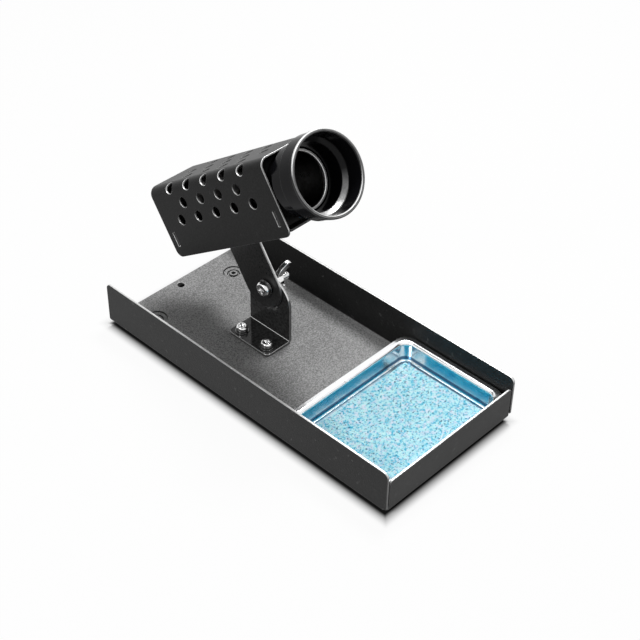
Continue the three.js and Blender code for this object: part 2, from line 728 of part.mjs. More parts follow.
function arm() {
  const drop = armTop + ARM_END_DROP;
  const section = angleSection(ARM_FLANGE, drop, ARM_T, ARM_BEND);
  const half = ARM_W / 2;
  const upright = extruded(section, Y, -half, half).mirror([0, 0, 1]);
  const outerX = BRACKET_FACE_X - RUN_GAP;
  const angle = moved(upright, outerX, ARM_OFFSET, armTop);
  const end = archedOutline(ARM_W, ARM_OFFSET, armTop + 1, -ARM_END_DROP);
  const plan = roundedRect(
    ARM_FLANGE, ARM_W, outerX - ARM_FLANGE / 2, ARM_OFFSET, [ARM_CORNER, 0, 0, ARM_CORNER],
  );
  const shaped = angle
    .intersect(extruded(end, X, -BASE_W, BASE_W, SMALL))
    .intersect(extruded(plan, Z, -2 * ARM_END_DROP, boreZ));
  const holes = rivetPlaces.map(([, y]) => rivetHole(y));
  holes.push(rod(BOLT_SHANK_R + HOLE_GAP, X, [0, 0, 0], 0, 2 * outerX, SMALL));
  return meshOf('arm', cutAll(shaped, holes), finishes.blackPaint);
}

// A rivet through the arm's flange and the floor plate, with a domed head at each end.
function rivet([name, y]) {
  const low = armTop - ARM_T - SEAT_GAP;
  const high = floorUpper + SEAT_GAP;
  const solid = turned([
    [0, low - RIVET_HEAD_H],
    [RIVET_HEAD_R * 0.6, low - RIVET_HEAD_H * 0.85],
    [RIVET_HEAD_R, low - RIVET_HEAD_H * 0.2],
    [RIVET_HEAD_R, low],
    [RIVET_SHANK_R, low],
    [RIVET_SHANK_R, high],
    [RIVET_HEAD_R * 0.85, high],
    [RIVET_HEAD_R * 0.7, high + RIVET_HEAD_H * 0.7],
    [0, high + RIVET_HEAD_H * 0.7],
  ], Z, [0, 0, 0], SMALL);
  const mesh = meshOf(name, solid, finishes.brightZinc);
  mesh.position.set(rivetX, y, 0);
  return mesh;
}

// Profiles below are [radius, distance in front of the cover's front end]. The liner's front
// flange sits in a recess at the bottom of the cup and holds the cup to the front bulkhead.
const cupTail = -(TAB_INSET - BULKHEAD_T / 2 - SEAT_GAP);
const cupSeat = cupTail + CUP_BOTTOM_T;
const linerFace = cupSeat + SEAT_GAP + LINER_FLANGE_T;

function linerTube() {
  const tail = -(COVER_L - LINER_TAIL);
  const solid = turned([
    [LINER_BORE_R, tail],
    [linerR, tail],
    [linerR, linerFace - LINER_FLANGE_T],
    [linerFlangeR, linerFace - LINER_FLANGE_T],
    [linerFlangeR, linerFace],
    [LINER_BORE_R, linerFace],
    [LINER_BORE_R, tail],
  ], Y.clone().negate(), [0, coverFrontY, boreZ], FINE);
  return meshOf('liner_tube', solid, finishes.bareSteel);
}

function mouthCup() {
  const lip = CUP_REACH;
  const recessR = linerFlangeR + HOLE_GAP;
  const throatR = recessR + CUP_TAPER;
  const bodyR = throatR + CUP_BODY_WALL;
  const barrelBoreR = throatR + CUP_STEP_W;
  const barrelR = barrelBoreR + CUP_BARREL_WALL;
  const lipR = barrelR + CUP_LIP_LEDGE;
  const rimR = barrelBoreR + CUP_FLARE;
  const solid = turned([
    [linerHoleR, cupTail],
    [neckR, cupTail],
    [neckR, CUP_NECK_FRONT],
    [bodyR - CUP_FILLET, CUP_NECK_FRONT],
    [bodyR, CUP_NECK_FRONT + CUP_FILLET],
    [bodyR, CUP_STEP - CUP_FILLET],
    [barrelR - CUP_FILLET, CUP_STEP],
    [barrelR, CUP_STEP + CUP_FILLET],
    [barrelR, lip - CUP_LIP_T],
    [lipR, lip - CUP_LIP_T],
    [lipR, lip - CUP_FILLET],
    [lipR - CUP_FILLET, lip],
    [rimR + CUP_FILLET / 2, lip],
    [rimR, lip - CUP_FILLET],
    [barrelBoreR, CUP_STEP + CUP_FILLET],
    [barrelBoreR - CUP_FILLET, CUP_STEP],
    [throatR, CUP_STEP],
    [recessR, linerFace],
    [recessR, cupSeat],
    [linerHoleR, cupSeat],
    [linerHoleR, cupTail],
  ], Y.clone().negate(), [0, coverFrontY, boreZ], FINE);
  return meshOf('mouth_cup', solid, finishes.glossBlack);
}

// ---------------------------------------------------------------- sponge dish and sponge

function spongeDish() {
  const rim = extruded(roundedRect(dishW, DISH_L, 0, 0, DISH_CORNER), Z, DISH_H - DISH_T, DISH_H);
  const skin = [wellW + 2 * DISH_T, wellL + 2 * DISH_T, 0, 0, wellR + DISH_T];
  const body = extruded(roundedRect(...skin), Z, 0, DISH_H - DISH_T / 2);
  const well = extruded(roundedRect(wellW, wellL, 0, 0, wellR), Z, DISH_T, 2 * DISH_H);
  return meshOf('sponge_dish', rim.add(body).subtract(well), finishes.stainless);
}

// The sponge is pushed into the dish's front left corner, so that corner alone is rounder.
function sponge() {
  const width = wellW - SPONGE_GAP - SPONGE_SIDE_SLACK;
  const length = wellL - SPONGE_GAP - SPONGE_REAR_SLACK;
  const corners = [wellR - SPONGE_CORNER_EASE, SPONGE_CORNER, SPONGE_CORNER, SPONGE_CORNER];
  const outline = roundedRect(width, length, 0, 0, corners);
  const mesh = meshOf('sponge', extruded(outline, Z, 0, SPONGE_H), finishes.sponge);
  const x = -wellW / 2 + SPONGE_GAP + width / 2;
  const y = -wellL / 2 + SPONGE_GAP + length / 2;
  mesh.position.set(x, y, DISH_T + LIFT_GAP);
  return mesh;
}

// ---------------------------------------------------------------- assembly

const stand = new THREE.Group();
stand.add(baseTray(), ...footPlaces.map(rubberFoot));
stand.add(angleBracket(), ...screwPlaces.map(bracketFasteners));
stand.add(pivotBolt(), boltWasher('bolt_washer', boltHeadX));
stand.add(boltWasher('clamp_washer', clampWasherX), wingNut());

const holder = new THREE.Group();
holder.position.set(0, BRACKET_Y, pivotZ);
holder.rotation.x = -THREE.MathUtils.degToRad(TILT);
holder.add(arm(), ...rivetPlaces.map(rivet), floorPlate(), cover());
holder.add(bulkhead('front_bulkhead', frontBulkheadY), bulkhead('rear_bulkhead', rearBulkheadY));
holder.add(linerTube(), mouthCup());
stand.add(holder);

const dish = new THREE.Group();
dish.position.set(0, dishMidY, dishUnder);
dish.add(spongeDish(), sponge());
stand.add(dish);

export default stand;
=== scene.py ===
import json
import math

import bpy
import numpy as np
from mathutils import Matrix, Vector, geometry, noise


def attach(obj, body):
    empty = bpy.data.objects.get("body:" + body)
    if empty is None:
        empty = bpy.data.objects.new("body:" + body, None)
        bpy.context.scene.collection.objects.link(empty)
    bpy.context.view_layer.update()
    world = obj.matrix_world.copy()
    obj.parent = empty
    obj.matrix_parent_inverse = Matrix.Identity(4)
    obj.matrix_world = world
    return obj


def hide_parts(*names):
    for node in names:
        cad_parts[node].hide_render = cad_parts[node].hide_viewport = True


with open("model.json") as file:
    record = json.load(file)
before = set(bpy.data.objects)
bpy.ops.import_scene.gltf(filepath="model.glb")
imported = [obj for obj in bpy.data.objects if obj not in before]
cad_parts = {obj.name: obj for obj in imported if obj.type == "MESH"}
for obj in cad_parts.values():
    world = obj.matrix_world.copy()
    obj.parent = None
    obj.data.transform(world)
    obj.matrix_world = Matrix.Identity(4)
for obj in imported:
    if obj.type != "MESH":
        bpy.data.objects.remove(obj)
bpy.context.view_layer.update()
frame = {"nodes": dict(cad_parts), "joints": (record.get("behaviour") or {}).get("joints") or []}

# The looks of a soldering iron stand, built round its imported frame. Sizes are in millimetres, and
# every piece is made in place, in the frame's own axes.

MM = 0.001
TINY = 1e-6
TILT = math.radians(34.3)
ARC_STEP = math.radians(9)
SMOOTH_UP_TO = math.radians(38)
RIM = 0.26  # rounding of a sheared and painted sheet edge
RIM_STEPS = 3
BURR_SHARE = 0.35  # share of an edge's scuffing and painted highlight kept on its lower rounding
BASE_BURR_SHARE = 0.6  # a larger share on the base's lower roundings
ENDS = ("front", "rear")


# ---- places in the frame

PIVOT = np.array(frame["joints"][0]["pos_m"], float) / MM
HOLDER = Matrix.Translation(Vector(PIVOT)) @ Matrix.Rotation(-TILT, 4, "X")
HERE = Matrix.Identity(4)


def box(node, place=HERE):
    """A CAD node's lowest and highest corner, along the axes of a place."""
    corners = np.array([v.co for v in frame["nodes"][node].data.vertices], float) / MM
    back = np.array(place.inverted())
    corners = corners @ back[:3, :3].T + back[:3, 3]
    return corners.min(0), corners.max(0)


def centre(node, place=HERE):
    return sum(box(node, place)) / 2


def moved(x, y, z, place=HERE):
    return place @ Matrix.Translation((x, y, z))


# ---- outlines


def unit(ways):
    return ways / np.linalg.norm(ways, axis=-1, keepdims=True)


def swung(way, angle):
    cos, sin = math.cos(angle), math.sin(angle)
    return np.array([way[0] * cos - way[1] * sin, way[0] * sin + way[1] * cos])


def rounded(corners, closed=True, step=ARC_STEP):
    """Points and right-hand normals of a path through (x, y, radius) corners."""
    count = len(corners)
    points, normals = [], []

    def add(point, way):
        if not points or np.linalg.norm(point - points[-1]) >= TINY:
            points.append(point)
            normals.append(np.array([way[1], -way[0]]))

    for i, (x, y, radius) in enumerate(corners):
        here = np.array([x, y], float)
        before = np.array(corners[(i - 1) % count][:2], float)
        after = np.array(corners[(i + 1) % count][:2], float)
        if not closed and i in (0, count - 1):
            add(here, unit(after - here if i == 0 else here - before))
            continue
        along, away = unit(here - before), unit(after - here)
        turn = math.atan2(along[0] * away[1] - along[1] * away[0], along @ away)
        if abs(turn) < TINY:
            add(here, along)
            continue
        start = here - along * (radius * abs(math.tan(turn / 2)))
        hub = start + math.copysign(radius, turn) * np.array([-along[1], along[0]])
        steps = max(2, math.ceil(abs(turn) / step))
        for k in range(steps + 1):
            angle = turn * k / steps
            add(hub + swung(start - hub, angle), swung(along, angle))
    return np.array(points), np.array(normals)


def outline(corners, step=ARC_STEP):
    return rounded(corners, step=step)[0]


def circle(x, y, radius, segments=40):
    angles = np.arange(segments) * 2 * math.pi / segments
    return np.stack([x + radius * np.cos(angles), y + radius * np.sin(angles)], 1)


def rectangle(low, high, radius):
    (x0, y0), (x1, y1) = low, high
    return [(x0, y0, radius), (x1, y0, radius), (x1, y1, radius), (x0, y1, radius)]


def mirrored(right):
    """An outline from the corners of its right half, bottom to top or top to bottom."""
    return right + [(-x, y, radius) for x, y, radius in reversed(right)]


def area(loop):
    x, y = loop[:, 0], loop[:, 1]
    return 0.5 * np.sum(x * np.roll(y, -1) - np.roll(x, -1) * y)


def right_of(ways):
    ways = unit(ways)
    return np.stack([ways[:, 1], -ways[:, 0]], 1)


def mitre(ahead, back):
    """The offset at a corner between two edges' normals that moves both of its edges by 1."""
    return (ahead + back) / (1 + np.sum(ahead * back, 1))[:, None]


def inset(loop, by):
    ahead = right_of(np.roll(loop, -1, 0) - loop)
    return loop - by * mitre(ahead, np.roll(ahead, 1, 0))


# ---- meshes


def linked(name, data):
    obj = bpy.data.objects.new(name, data)
    bpy.context.scene.collection.objects.link(obj)
    return obj


def piece(name, points, faces, material, normals=None, place=HERE, rim=None):
    """A named mesh object from points in millimetres."""
    turn = np.array(place)
    points = (np.asarray(points) @ turn[:3, :3].T + turn[:3, 3]) * MM
    mesh = bpy.data.meshes.new(name)
    mesh.from_pydata(points.tolist(), [], faces)
    mesh.validate()
    mesh.shade_smooth()
    if normals is None:
        mesh.set_sharp_from_angle(angle=SMOOTH_UP_TO)
    else:
        normals = np.asarray(normals) @ turn[:3, :3].T
        mesh.normals_split_custom_set_from_vertices(normals.tolist())
    if rim is not None:
        mesh.attributes.new("rim", "FLOAT", "POINT").data.foreach_set("value", list(rim))
    mesh.materials.append(material)
    return linked(name, mesh)


def sheet(
    name, loops, mould, thickness, material, lines=(), edge=RIM, place=HERE, face_highlight=None,
    rubbed_and_lit=None, burr=BURR_SHARE,
):
    """A sheet-metal piece. loops are its flat outline and holes, mould(u, v, w) gives the folded
    place of a point w above the sheet's middle, and lines are where it needs more corners. Its rim
    attribute is wear(u, v, w) on the faces, and on the cut edges rubbed(u, v) or else 1, times
    burr on the lower rounding."""
    # The rim attribute marks edge scuffing and painted highlights, on cut edges and on faces.
    loops = [np.asarray(loop, float) for loop in loops]
    loops = [loop if (area(loop) > 0) == (i == 0) else loop[::-1] for i, loop in enumerate(loops)]
    flat, faces, edges = [], [], []
    for loop in loops:
        numbers = [len(flat) + i for i in range(len(loop))]
        faces.append(numbers[::-1] if faces else numbers)
        flat += [Vector(point) for point in inset(loop, edge)]
    for path in lines:
        edges += [(len(flat) + i, len(flat) + i + 1) for i in range(len(path) - 1)]
        flat += [Vector(point) for point in path]
    corners, _, triangles, _, _, owners = geometry.delaunay_2d_cdt(flat, edges, faces, 1, 1e-5)
    corners = np.array(corners, float)
    triangles = np.array([t for t, owner in zip(triangles, owners) if list(owner) == [0]])
    used, triangles = np.unique(triangles, return_inverse=True)
    corners, triangles = corners[used], triangles.reshape(-1, 3)

    directed = {(int(t[k]), int(t[(k + 1) % 3])) for t in triangles for k in range(3)}
    border = {p: q for p, q in directed if (q, p) not in directed}
    behind = {q: p for p, q in border.items()}
    rim_points = np.array(sorted(border))
    slot = {p: i for i, p in enumerate(rim_points)}
    on_rim = corners[rim_points]
    outward = mitre(
        right_of(corners[[border[p] for p in rim_points]] - on_rim),
        right_of(on_rim - corners[[behind[p] for p in rim_points]]),
    )
    facing = unit(outward)

    count, half = len(corners), thickness / 2
    rows, layers = [], [rim_points]

    def layer(spots, height, lean, rise, rim):
        level, upward, rims = (np.full(len(spots), value) for value in (height, rise, rim))
        rows.append(np.column_stack([spots, level, lean, upward, rims]))

    for side in (1, -1):
        worn_and_highlit = face_highlight(*corners.T, side * half) if face_highlight else 0
        layer(corners, side * half, 0 * corners, side, worn_and_highlit)
    quarter = [math.pi / 2 * k / RIM_STEPS for k in range(1, RIM_STEPS + 1)]
    for angle, side in [(t, 1) for t in quarter] + [(t, -1) for t in quarter[::-1]]:
        cos, sin = math.cos(angle), math.sin(angle)
        layers.append(sum(map(len, rows)) + np.arange(len(on_rim)))
        spots = on_rim + outward * edge * sin
        # Cut edges get scuffing and painted highlight, with a smaller share on their lower
        # rounding.
        bare_and_lit = sin * (1 if side > 0 else burr) * (rubbed_and_lit(*spots.T) if rubbed_and_lit else 1)
        layer(spots, side * (half - edge * (1 - cos)), facing * sin, side * cos, bare_and_lit)
    layers.append(rim_points + count)
    u, v, w, lean_u, lean_v, rise, rim = np.vstack(rows).T

    step = 1e-3
    along = unit(mould(u + step, v, w) - mould(u - step, v, w))
    across = unit(mould(u, v + step, w) - mould(u, v - step, w))
    flat_part = along * lean_u[:, None] + across * lean_v[:, None]
    normals = unit(flat_part + np.cross(along, across) * rise[:, None])

    faces = triangles.tolist() + (triangles[:, ::-1] + count).tolist()
    for upper, lower in zip(layers, layers[1:]):
        for p, q in border.items():
            i, j = slot[p], slot[q]
            faces.append([int(upper[i]), int(lower[i]), int(lower[j]), int(upper[j])])
    return piece(name, mould(u, v, w), faces, material, normals, place, rim)


def turned(
    name, profile, material, place=HERE, closed=False, segments=96, spread=(0, 0), ripple=None,
    step=math.radians(18), mark=None, ease=None,
):
    """A turned piece from (radius, height, rounding) corners, outside on the right of travel.
    spread pulls the four quarters apart, which makes a rounded rectangle of the circle,
    ease(radius) makes the rectangle's corners that much rounder, ripple(angle, radius, height) is
    added to the radius, and mark(radius, height) is kept as the piece's rim attribute."""
    path, facing = rounded(profile, closed=closed, step=step)
    apart = any(spread)
    quarter = segments // 4
    spokes = []
    for k in range(4):
        shift = ((1, -1, -1, 1)[k] * spread[0], (1, 1, -1, -1)[k] * spread[1])
        for j in range(quarter + apart):
            angle = math.pi / 2 * (k + j / quarter)
            spokes.append((math.cos(angle), math.sin(angle), *shift))
    spokes = np.array(spokes)
    points, normals, rings, marks = [], [], [], []
    for (radius, height), (out, up) in zip(path, facing):
        ring, slack = spokes, ease(radius) if ease else 0
        if radius < TINY:  # one point on the axis, or one for each quarter
            ring, slack = spokes[:: quarter + 1 if apart else len(spokes)], 0
            out, up = 0, math.copysign(1, up)
        grown = np.full(len(ring), radius + slack)
        if ripple:
            grown = grown + ripple(np.arctan2(ring[:, 1], ring[:, 0]), radius, height)
        shift = ring[:, 2:] - slack * np.sign(ring[:, 2:])
        level, rise = np.full(len(ring), height), np.full(len(ring), up)
        rings.append([len(points) + i * len(ring) // len(spokes) for i in range(len(spokes))])
        points += np.column_stack([ring[:, :2] * grown[:, None] + shift, level]).tolist()
        normals += np.column_stack([ring[:, :2] * out, rise]).tolist()
        marks += [mark(radius, height) if mark else 0] * len(ring)
    faces = []
    pairs = list(zip(rings, rings[1:])) + ([(rings[-1], rings[0])] if closed else [])
    for low, high in pairs:
        for i in range(len(spokes)):
            j = (i + 1) % len(spokes)
            face = list(dict.fromkeys([low[i], low[j], high[j], high[i]]))
            if len(face) > 2:
                faces.append(face)
    for ring, way in ((rings[0], -1), (rings[-1], 1)):
        ends = list(dict.fromkeys(ring))
        if not closed and len(ends) == 4:
            faces.append(ends[::way])
    return piece(name, points, faces, material, None if ripple else normals, place, marks)


def applied(obj):
    """Bakes an object's modifiers into its mesh."""
    graph = bpy.context.evaluated_depsgraph_get()
    shape = bpy.data.meshes.new_from_object(obj.evaluated_get(graph))
    obj.modifiers.clear()
    obj.data = shape


def combined(obj, others, operation):
    """Cuts other closed objects from obj, or joins them to it, and removes them."""
    for other in others:
        cut = obj.modifiers.new("cut", "BOOLEAN")
        cut.operation = operation
        cut.solver = "EXACT"
        cut.object = other
    applied(obj)
    for other in others:
        bpy.data.objects.remove(other)
    obj.data.shade_smooth()
    obj.data.set_sharp_from_angle(angle=SMOOTH_UP_TO)
    return obj


def flat_mould(u, v, w):
    return np.stack([u, v, w], 1)


# ---- materials


class Nodes:
    """A shader tree. A socket takes a number, a colour or another node's output."""

    def __init__(self, owner):
        owner.use_nodes = True
        self.tree = owner.node_tree

    def put(self, socket, value):
        if isinstance(value, bpy.types.NodeSocket):
            self.tree.links.new(value, socket)
        else:
            socket.default_value = (*value, 1) if socket.type == "RGBA" else value

    def add(self, kind, output, inputs=(), **settings):
        """One output of a new node."""
        node = self.tree.nodes.new("ShaderNode" + kind)
        for key, value in settings.items():
            setattr(node, key, value)
        for key, value in dict(inputs).items():
            self.put(node.inputs[key], value)
        return node.outputs[output]

    def worked_out(self, operation, *values):
        return self.add("Math", "Value", enumerate(values), operation=operation)

    def product(self, first, second):
        return self.worked_out("MULTIPLY", first, second)

    def sum(self, first, second, factor):
        """first + second * factor"""
        return self.worked_out("MULTIPLY_ADD", second, factor, first)

    def span(self, value, low, high, to_low, to_high, **settings):
        """A value between low and high, stretched to another range and held inside it."""
        keys = ("Value", "From Min", "From Max", "To Min", "To Max")
        inputs = zip(keys, (value, low, high, to_low, to_high))
        return self.add("MapRange", "Result", inputs, **settings)

    def mixed(self, factor, first, second):
        """Two colours mixed by a factor. The colour sockets are 6, 7 and 2 by number."""
        return self.add("Mix", 2, {"Factor": factor, 6: first, 7: second}, data_type="RGBA")

    def seen_rays(self):
        """1 for rays that should meet the white background, 0 for those that light the part."""
        camera, *others = (
            self.add("LightPath", f"Is {ray} Ray") for ray in ("Camera", "Glossy", "Transmission")
        )
        return self.worked_out("MAXIMUM", camera, self.worked_out("MAXIMUM", *others))

    def end_in(self, output, factor, first, second):
        """Shows a mix of two shaders."""
        mix = self.add("MixShader", "Shader", {0: factor, 1: first, 2: second})
        self.put(self.tree.nodes[output].inputs["Surface"], mix)


class Paint(Nodes):
    """A node material, with the few node chains that the finishes share."""

    def __init__(self, name, roughness, metallic=0.0, specular=0.5):
        self.material = bpy.data.materials.new(name)
        super().__init__(self.material)
        self.shader = self.tree.nodes["Principled BSDF"]
        self.place = self.add("TexCoord", "Object")
        self.set("Roughness", roughness)
        self.set("Metallic", metallic)
        self.set("Specular IOR Level", specular)

    def set(self, key, value):
        self.put(self.shader.inputs[key], value)

    def stretched(self, x, y, z, turn=(0, 0, 0)):
        inputs = {"Vector": self.place, "Scale": (x, y, z), "Rotation": turn}
        return self.add("Mapping", "Vector", inputs)

    def noise(self, size, detail=3.0, roughness=0.55, place=None):
        """Noise whose blobs are about size millimetres wide."""
        inputs = {"Scale": 1 / (size * MM), "Detail": detail, "Roughness": roughness}
        return self.add("TexNoise", "Fac", {"Vector": place or self.place, **inputs})

    def cells(self, size):
        inputs = {"Vector": self.place, "Scale": 1 / (size * MM)}
        return self.add("TexVoronoi", "Distance", inputs)

    def rim(self):
        return self.add("Attribute", "Fac", attribute_name="rim")

    def upward(self):
        """How far the surface faces up while the part stands at rest."""
        return self.add("SeparateXYZ", "Z", {"Vector": self.add("TexCoord", "Normal")})

    def height(self):
        """Metres above the table while the part stands at rest."""
        return self.add("SeparateXYZ", "Z", {"Vector": self.place})

    def finished(self, colour, relief, depth):
        """The material, with its colour and a bump of about depth millimetres."""
        bump = {"Distance": depth * MM, "Strength": 1, "Height": relief}
        self.set("Base Color", colour)
        self.set("Normal", self.add("Bump", "Normal", bump))
        return self.material


def grey(tone):
    return (tone, tone, tone)


def scaled(colour, share):
    return tuple(share * part for part in colour)


def black_paint(name, tone, dust_and_sheen, roughness, specular, grain, depth, edge_tone):
    """Black coating: fine grain, slow drift of tone and gloss, specks of dust, a paler painted
    sheen where it faces up, and light metallic edges, partly scuffing and partly painted highlight,
    most of all where they face up."""
    paint = Paint(name, roughness, specular=specular)
    drift = paint.noise(38, detail=4)
    fine = paint.noise(grain, detail=2, roughness=0.6)
    dust = paint.noise(grain * 5, detail=5, roughness=0.7)
    speckle = paint.span(paint.sum(fine, drift, 0.3), 0.5, 0.8, 0, 1)
    body = paint.mixed(speckle, grey(0.6 * tone), grey(1.5 * tone))
    # A paler tone where the coating faces up: painted sheen, standing in for the light from above
    # on the floor and the cover's top.
    paler = paint.mixed(speckle, grey(0.6 * dust_and_sheen), grey(1.45 * dust_and_sheen))
    sheened = paint.mixed(paint.span(paint.upward(), 0.6, 0.97, 0, 1), body, paler)
    specked = paint.mixed(paint.span(dust, 0.62, 0.8, 0, 0.3), sheened, grey(1.8 * dust_and_sheen))
    # Edges turn metallic and light: partly scuffing, partly painted highlight, stronger where they
    # face up to the light.
    rubbed_and_lit = paint.product(paint.rim(), paint.span(paint.upward(), -0.1, 0.5, 0.15, 1))
    worn_and_highlit = paint.product(rubbed_and_lit, paint.span(paint.noise(2.2), 0.3, 0.5, 0.8, 1))
    gloss = paint.sum(drift, fine, 0.6)
    paint.set("Metallic", worn_and_highlit)
    paint.set("Roughness", paint.span(gloss, 0.5, 1.1, roughness - 0.05, roughness + 0.05))
    colour = paint.mixed(worn_and_highlit, specked, grey(edge_tone))
    return paint.finished(colour, paint.sum(fine, dust, 0.3), depth)


def plated(name, tone, roughness):
    """Plated metal: cloudy tone, small scuffs and hairlines."""
    paint = Paint(name, roughness, metallic=1.0)
    cloud = paint.noise(3, detail=4)
    hair = paint.noise(0.25, detail=3, place=paint.stretched(1, 0.08, 1))
    gloss = paint.sum(cloud, hair, 0.7)
    clouded = paint.mixed(paint.span(cloud, 0.35, 0.7, 0, 1), grey(0.8 * tone), grey(tone))
    paint.set("Roughness", paint.span(gloss, 0.5, 1.2, roughness - 0.08, roughness + 0.12))
    return paint.finished(clouded, paint.sum(cloud, hair, 0.4), 0.012)


REFLECTION_ENDS = (0.0066, 0.0078)  # heights in metres between which the dish's painted blue reflection of the sponge fades out
# Heights in metres where the dark band of painted shade beside the sponge starts and ends:
GAP_SHADE_STARTS = (0.0066, 0.0071)
GAP_SHADE_ENDS = (0.0084, 0.009)


def pressed_steel(name, tone, sponge_reflection, gap_shade_tone, roughness):
    """Stainless sheet: long mill lines, slight waviness from pressing and water marks. Inside, low
    down, a painted blue reflection of the sponge, with a dark band of painted shade where the gap
    beside it lies."""
    paint = Paint(name, roughness, metallic=1.0)
    lines = paint.noise(0.4, detail=3, place=paint.stretched(0.03, 1, 1))
    waves = paint.noise(14, detail=2)
    marks = paint.noise(5, detail=6, roughness=0.7)
    inside = paint.rim()
    spotted = paint.mixed(paint.span(marks, 0.58, 0.66, 0, 0.5), tone, scaled(tone, 0.72))
    low_down = paint.span(paint.sum(paint.height(), marks, 0.003), *REFLECTION_ENDS, 0.9, 0)
    reflecting = paint.mixed(paint.product(inside, low_down), spotted, sponge_reflection)
    level = paint.sum(paint.height(), marks, 0.0006)
    above = paint.product(inside, paint.span(level, *GAP_SHADE_STARTS, 0, 0.9))
    gap_shade = paint.product(above, paint.span(level, *GAP_SHADE_ENDS, 1, 0))
    gloss = paint.sum(lines, marks, 0.8)
    paint.set("Roughness", paint.span(gloss, 0.5, 1.3, roughness - 0.05, roughness + 0.1))
    return paint.finished(paint.mixed(gap_shade, reflecting, gap_shade_tone), paint.sum(waves, lines, 0.05), 0.2)


def moulded_plastic(name, tone, rubbed_and_lit, roughness, specular):
    """Glossy moulding: faint flow marks, a few fine scratches and dust, and a light grey, part
    metallic lip and funnel, partly scuffing and partly painted highlight, most where they face up.
    """
    paint = Paint(name, roughness, specular=specular)
    flow = paint.noise(9, detail=3)
    dust = paint.noise(0.7, detail=4, roughness=0.75)
    body = paint.mixed(paint.span(dust, 0.68, 0.8, 0, 0.35), tone, grey(0.09))
    # Lip and funnel marks show most where they face up: painted highlight, with scuffing on the
    # lip.
    rubbed_and_lit_share = paint.product(paint.rim(), paint.span(paint.upward(), 0.5, 0.95, 0.03, 1))
    worn_and_highlit = paint.product(rubbed_and_lit_share, paint.span(paint.noise(4, detail=5), 0.3, 0.6, 0.7, 1))
    gloss = paint.sum(flow, dust, 0.5)
    smooth = paint.span(gloss, 0.5, 1.1, roughness - 0.04, roughness + 0.09)
    paint.set("Metallic", paint.span(worn_and_highlit, 0, 1, 0, 0.7))
    paint.set("Roughness", paint.sum(smooth, worn_and_highlit, 0.25))
    return paint.finished(paint.mixed(worn_and_highlit, body, rubbed_and_lit), paint.sum(flow, dust, 0.06), 0.03)


def drawn_tube(name, tone, bore_shade, roughness):
    """Uncoated tube: lines drawn along it, and near-black painted shade in patches on the bore past
    its mouth and on the outside behind the neck.
    """
    paint = Paint(name, roughness, metallic=1.0)
    lines = paint.noise(0.3, detail=3, place=paint.stretched(1, 0.06, 0.06, (TILT, 0, 0)))
    patchy = paint.noise(11, detail=5, roughness=0.65)
    bore = paint.product(paint.rim(), paint.span(patchy, 0.25, 0.6, 0.8, 1))
    gloss = paint.sum(lines, patchy, 0.8)
    paint.set("Roughness", paint.span(gloss, 0.5, 1.2, roughness - 0.06, roughness + 0.14))
    return paint.finished(paint.mixed(bore, tone, bore_shade), lines, 0.02)


def soft_rubber(name, tone):
    """Moulded rubber: matt skin with chalky patches, and a paler top that is painted sheen."""
    paint = Paint(name, 0.45)
    paler = paint.noise(2.5, detail=5)
    skin = paint.noise(0.25, detail=2)
    body = paint.mixed(paint.span(paler, 0.4, 0.75, 0, 1), grey(tone), grey(2.2 * tone))
    # Faces that look up turn paler: painted sheen on the plug in its dimple.
    sheened_top = paint.mixed(paint.span(paint.upward(), 0.6, 0.9, 0, 0.9), body, grey(9 * tone))
    paint.set("Roughness", paint.span(paint.sum(paler, skin, 0.4), 0.4, 1.1, 0.3, 0.5))
    return paint.finished(sheened_top, skin, 0.03)


def cellulose(name, pale, faded, deep, side, pore):
    """Dry cellulose sponge: pale cell walls, deeper blue cells, small dark pores and blue sides."""
    paint = Paint(name, 0.95, specular=0.2)
    cloud = paint.noise(7, detail=3)
    cell = paint.noise(1.3, detail=4, roughness=0.75)
    holes = paint.noise(1.2, detail=2, roughness=0.7)
    walls = paint.mixed(paint.span(paint.noise(3, detail=4), 0.48, 0.6, 0, 0.85), pale, faded)
    body = paint.mixed(paint.span(cell, 0.48, 0.61, 0, 1), walls, deep)
    clouded = paint.mixed(paint.span(cloud, 0.4, 0.7, 0, 0.25), body, deep)
    pored = paint.mixed(paint.span(holes, 0.6, 0.65, 0, 0.95), clouded, pore)
    top = paint.span(paint.upward(), 0.2, 0.85, 0, 1)
    colour = paint.mixed(top, side, pored)
    return paint.finished(colour, paint.sum(cell, paint.cells(1.3), -0.6), 0.35)


# Tone, tone of the dust specks and of the painted sheen on upward faces, roughness, specular level,
# grain and its depth in millimetres, and edge tone.
BASE_PAINT = black_paint("base_paint", 0.012, 0.28, 0.4, 0.17, 0.7, 0.1, 0.8)
# The bracket's and the arm's body tones are lighter than the base's: painted light for their faces
# in shade.
BRACKET_PAINT = black_paint("bracket_paint", 0.042, 0.04, 0.08, 0.27, 1.2, 0.003, 0.85)
ARM_PAINT = black_paint("arm_paint", 0.03, 0.04, 0.3, 0.25, 1.0, 0.012, 0.85)
# Parts inside the cover keep dark edges, without the painted highlight, because they sit in its
# shade.
INNER_PAINT = black_paint("inner_paint", 0.008, 0.012, 0.3, 0.3, 1.0, 0.012, 0.1)
COVER_PAINT = black_paint("cover_paint", 0.008, 0.042, 0.4, 0.1, 0.8, 0.015, 0.85)
# The cup's light grey is its lip's scuffing and the painted highlight on lip and funnel.
CUP_PLASTIC = moulded_plastic("cup_plastic", (0.005, 0.005, 0.006), grey(0.7), 0.14, 0.08)
# The liner's near-black second colour is painted shade deep inside the cover.
LINER_STEEL = drawn_tube("liner_steel", grey(0.6), (0.02, 0.018, 0.017), 0.3)
ZINC = plated("bright_zinc", 0.95, 0.15)
# Washers are given a dark tone, far darker than the screws above them.
DARK_ZINC = plated("dark_zinc", 0.16, 0.24)
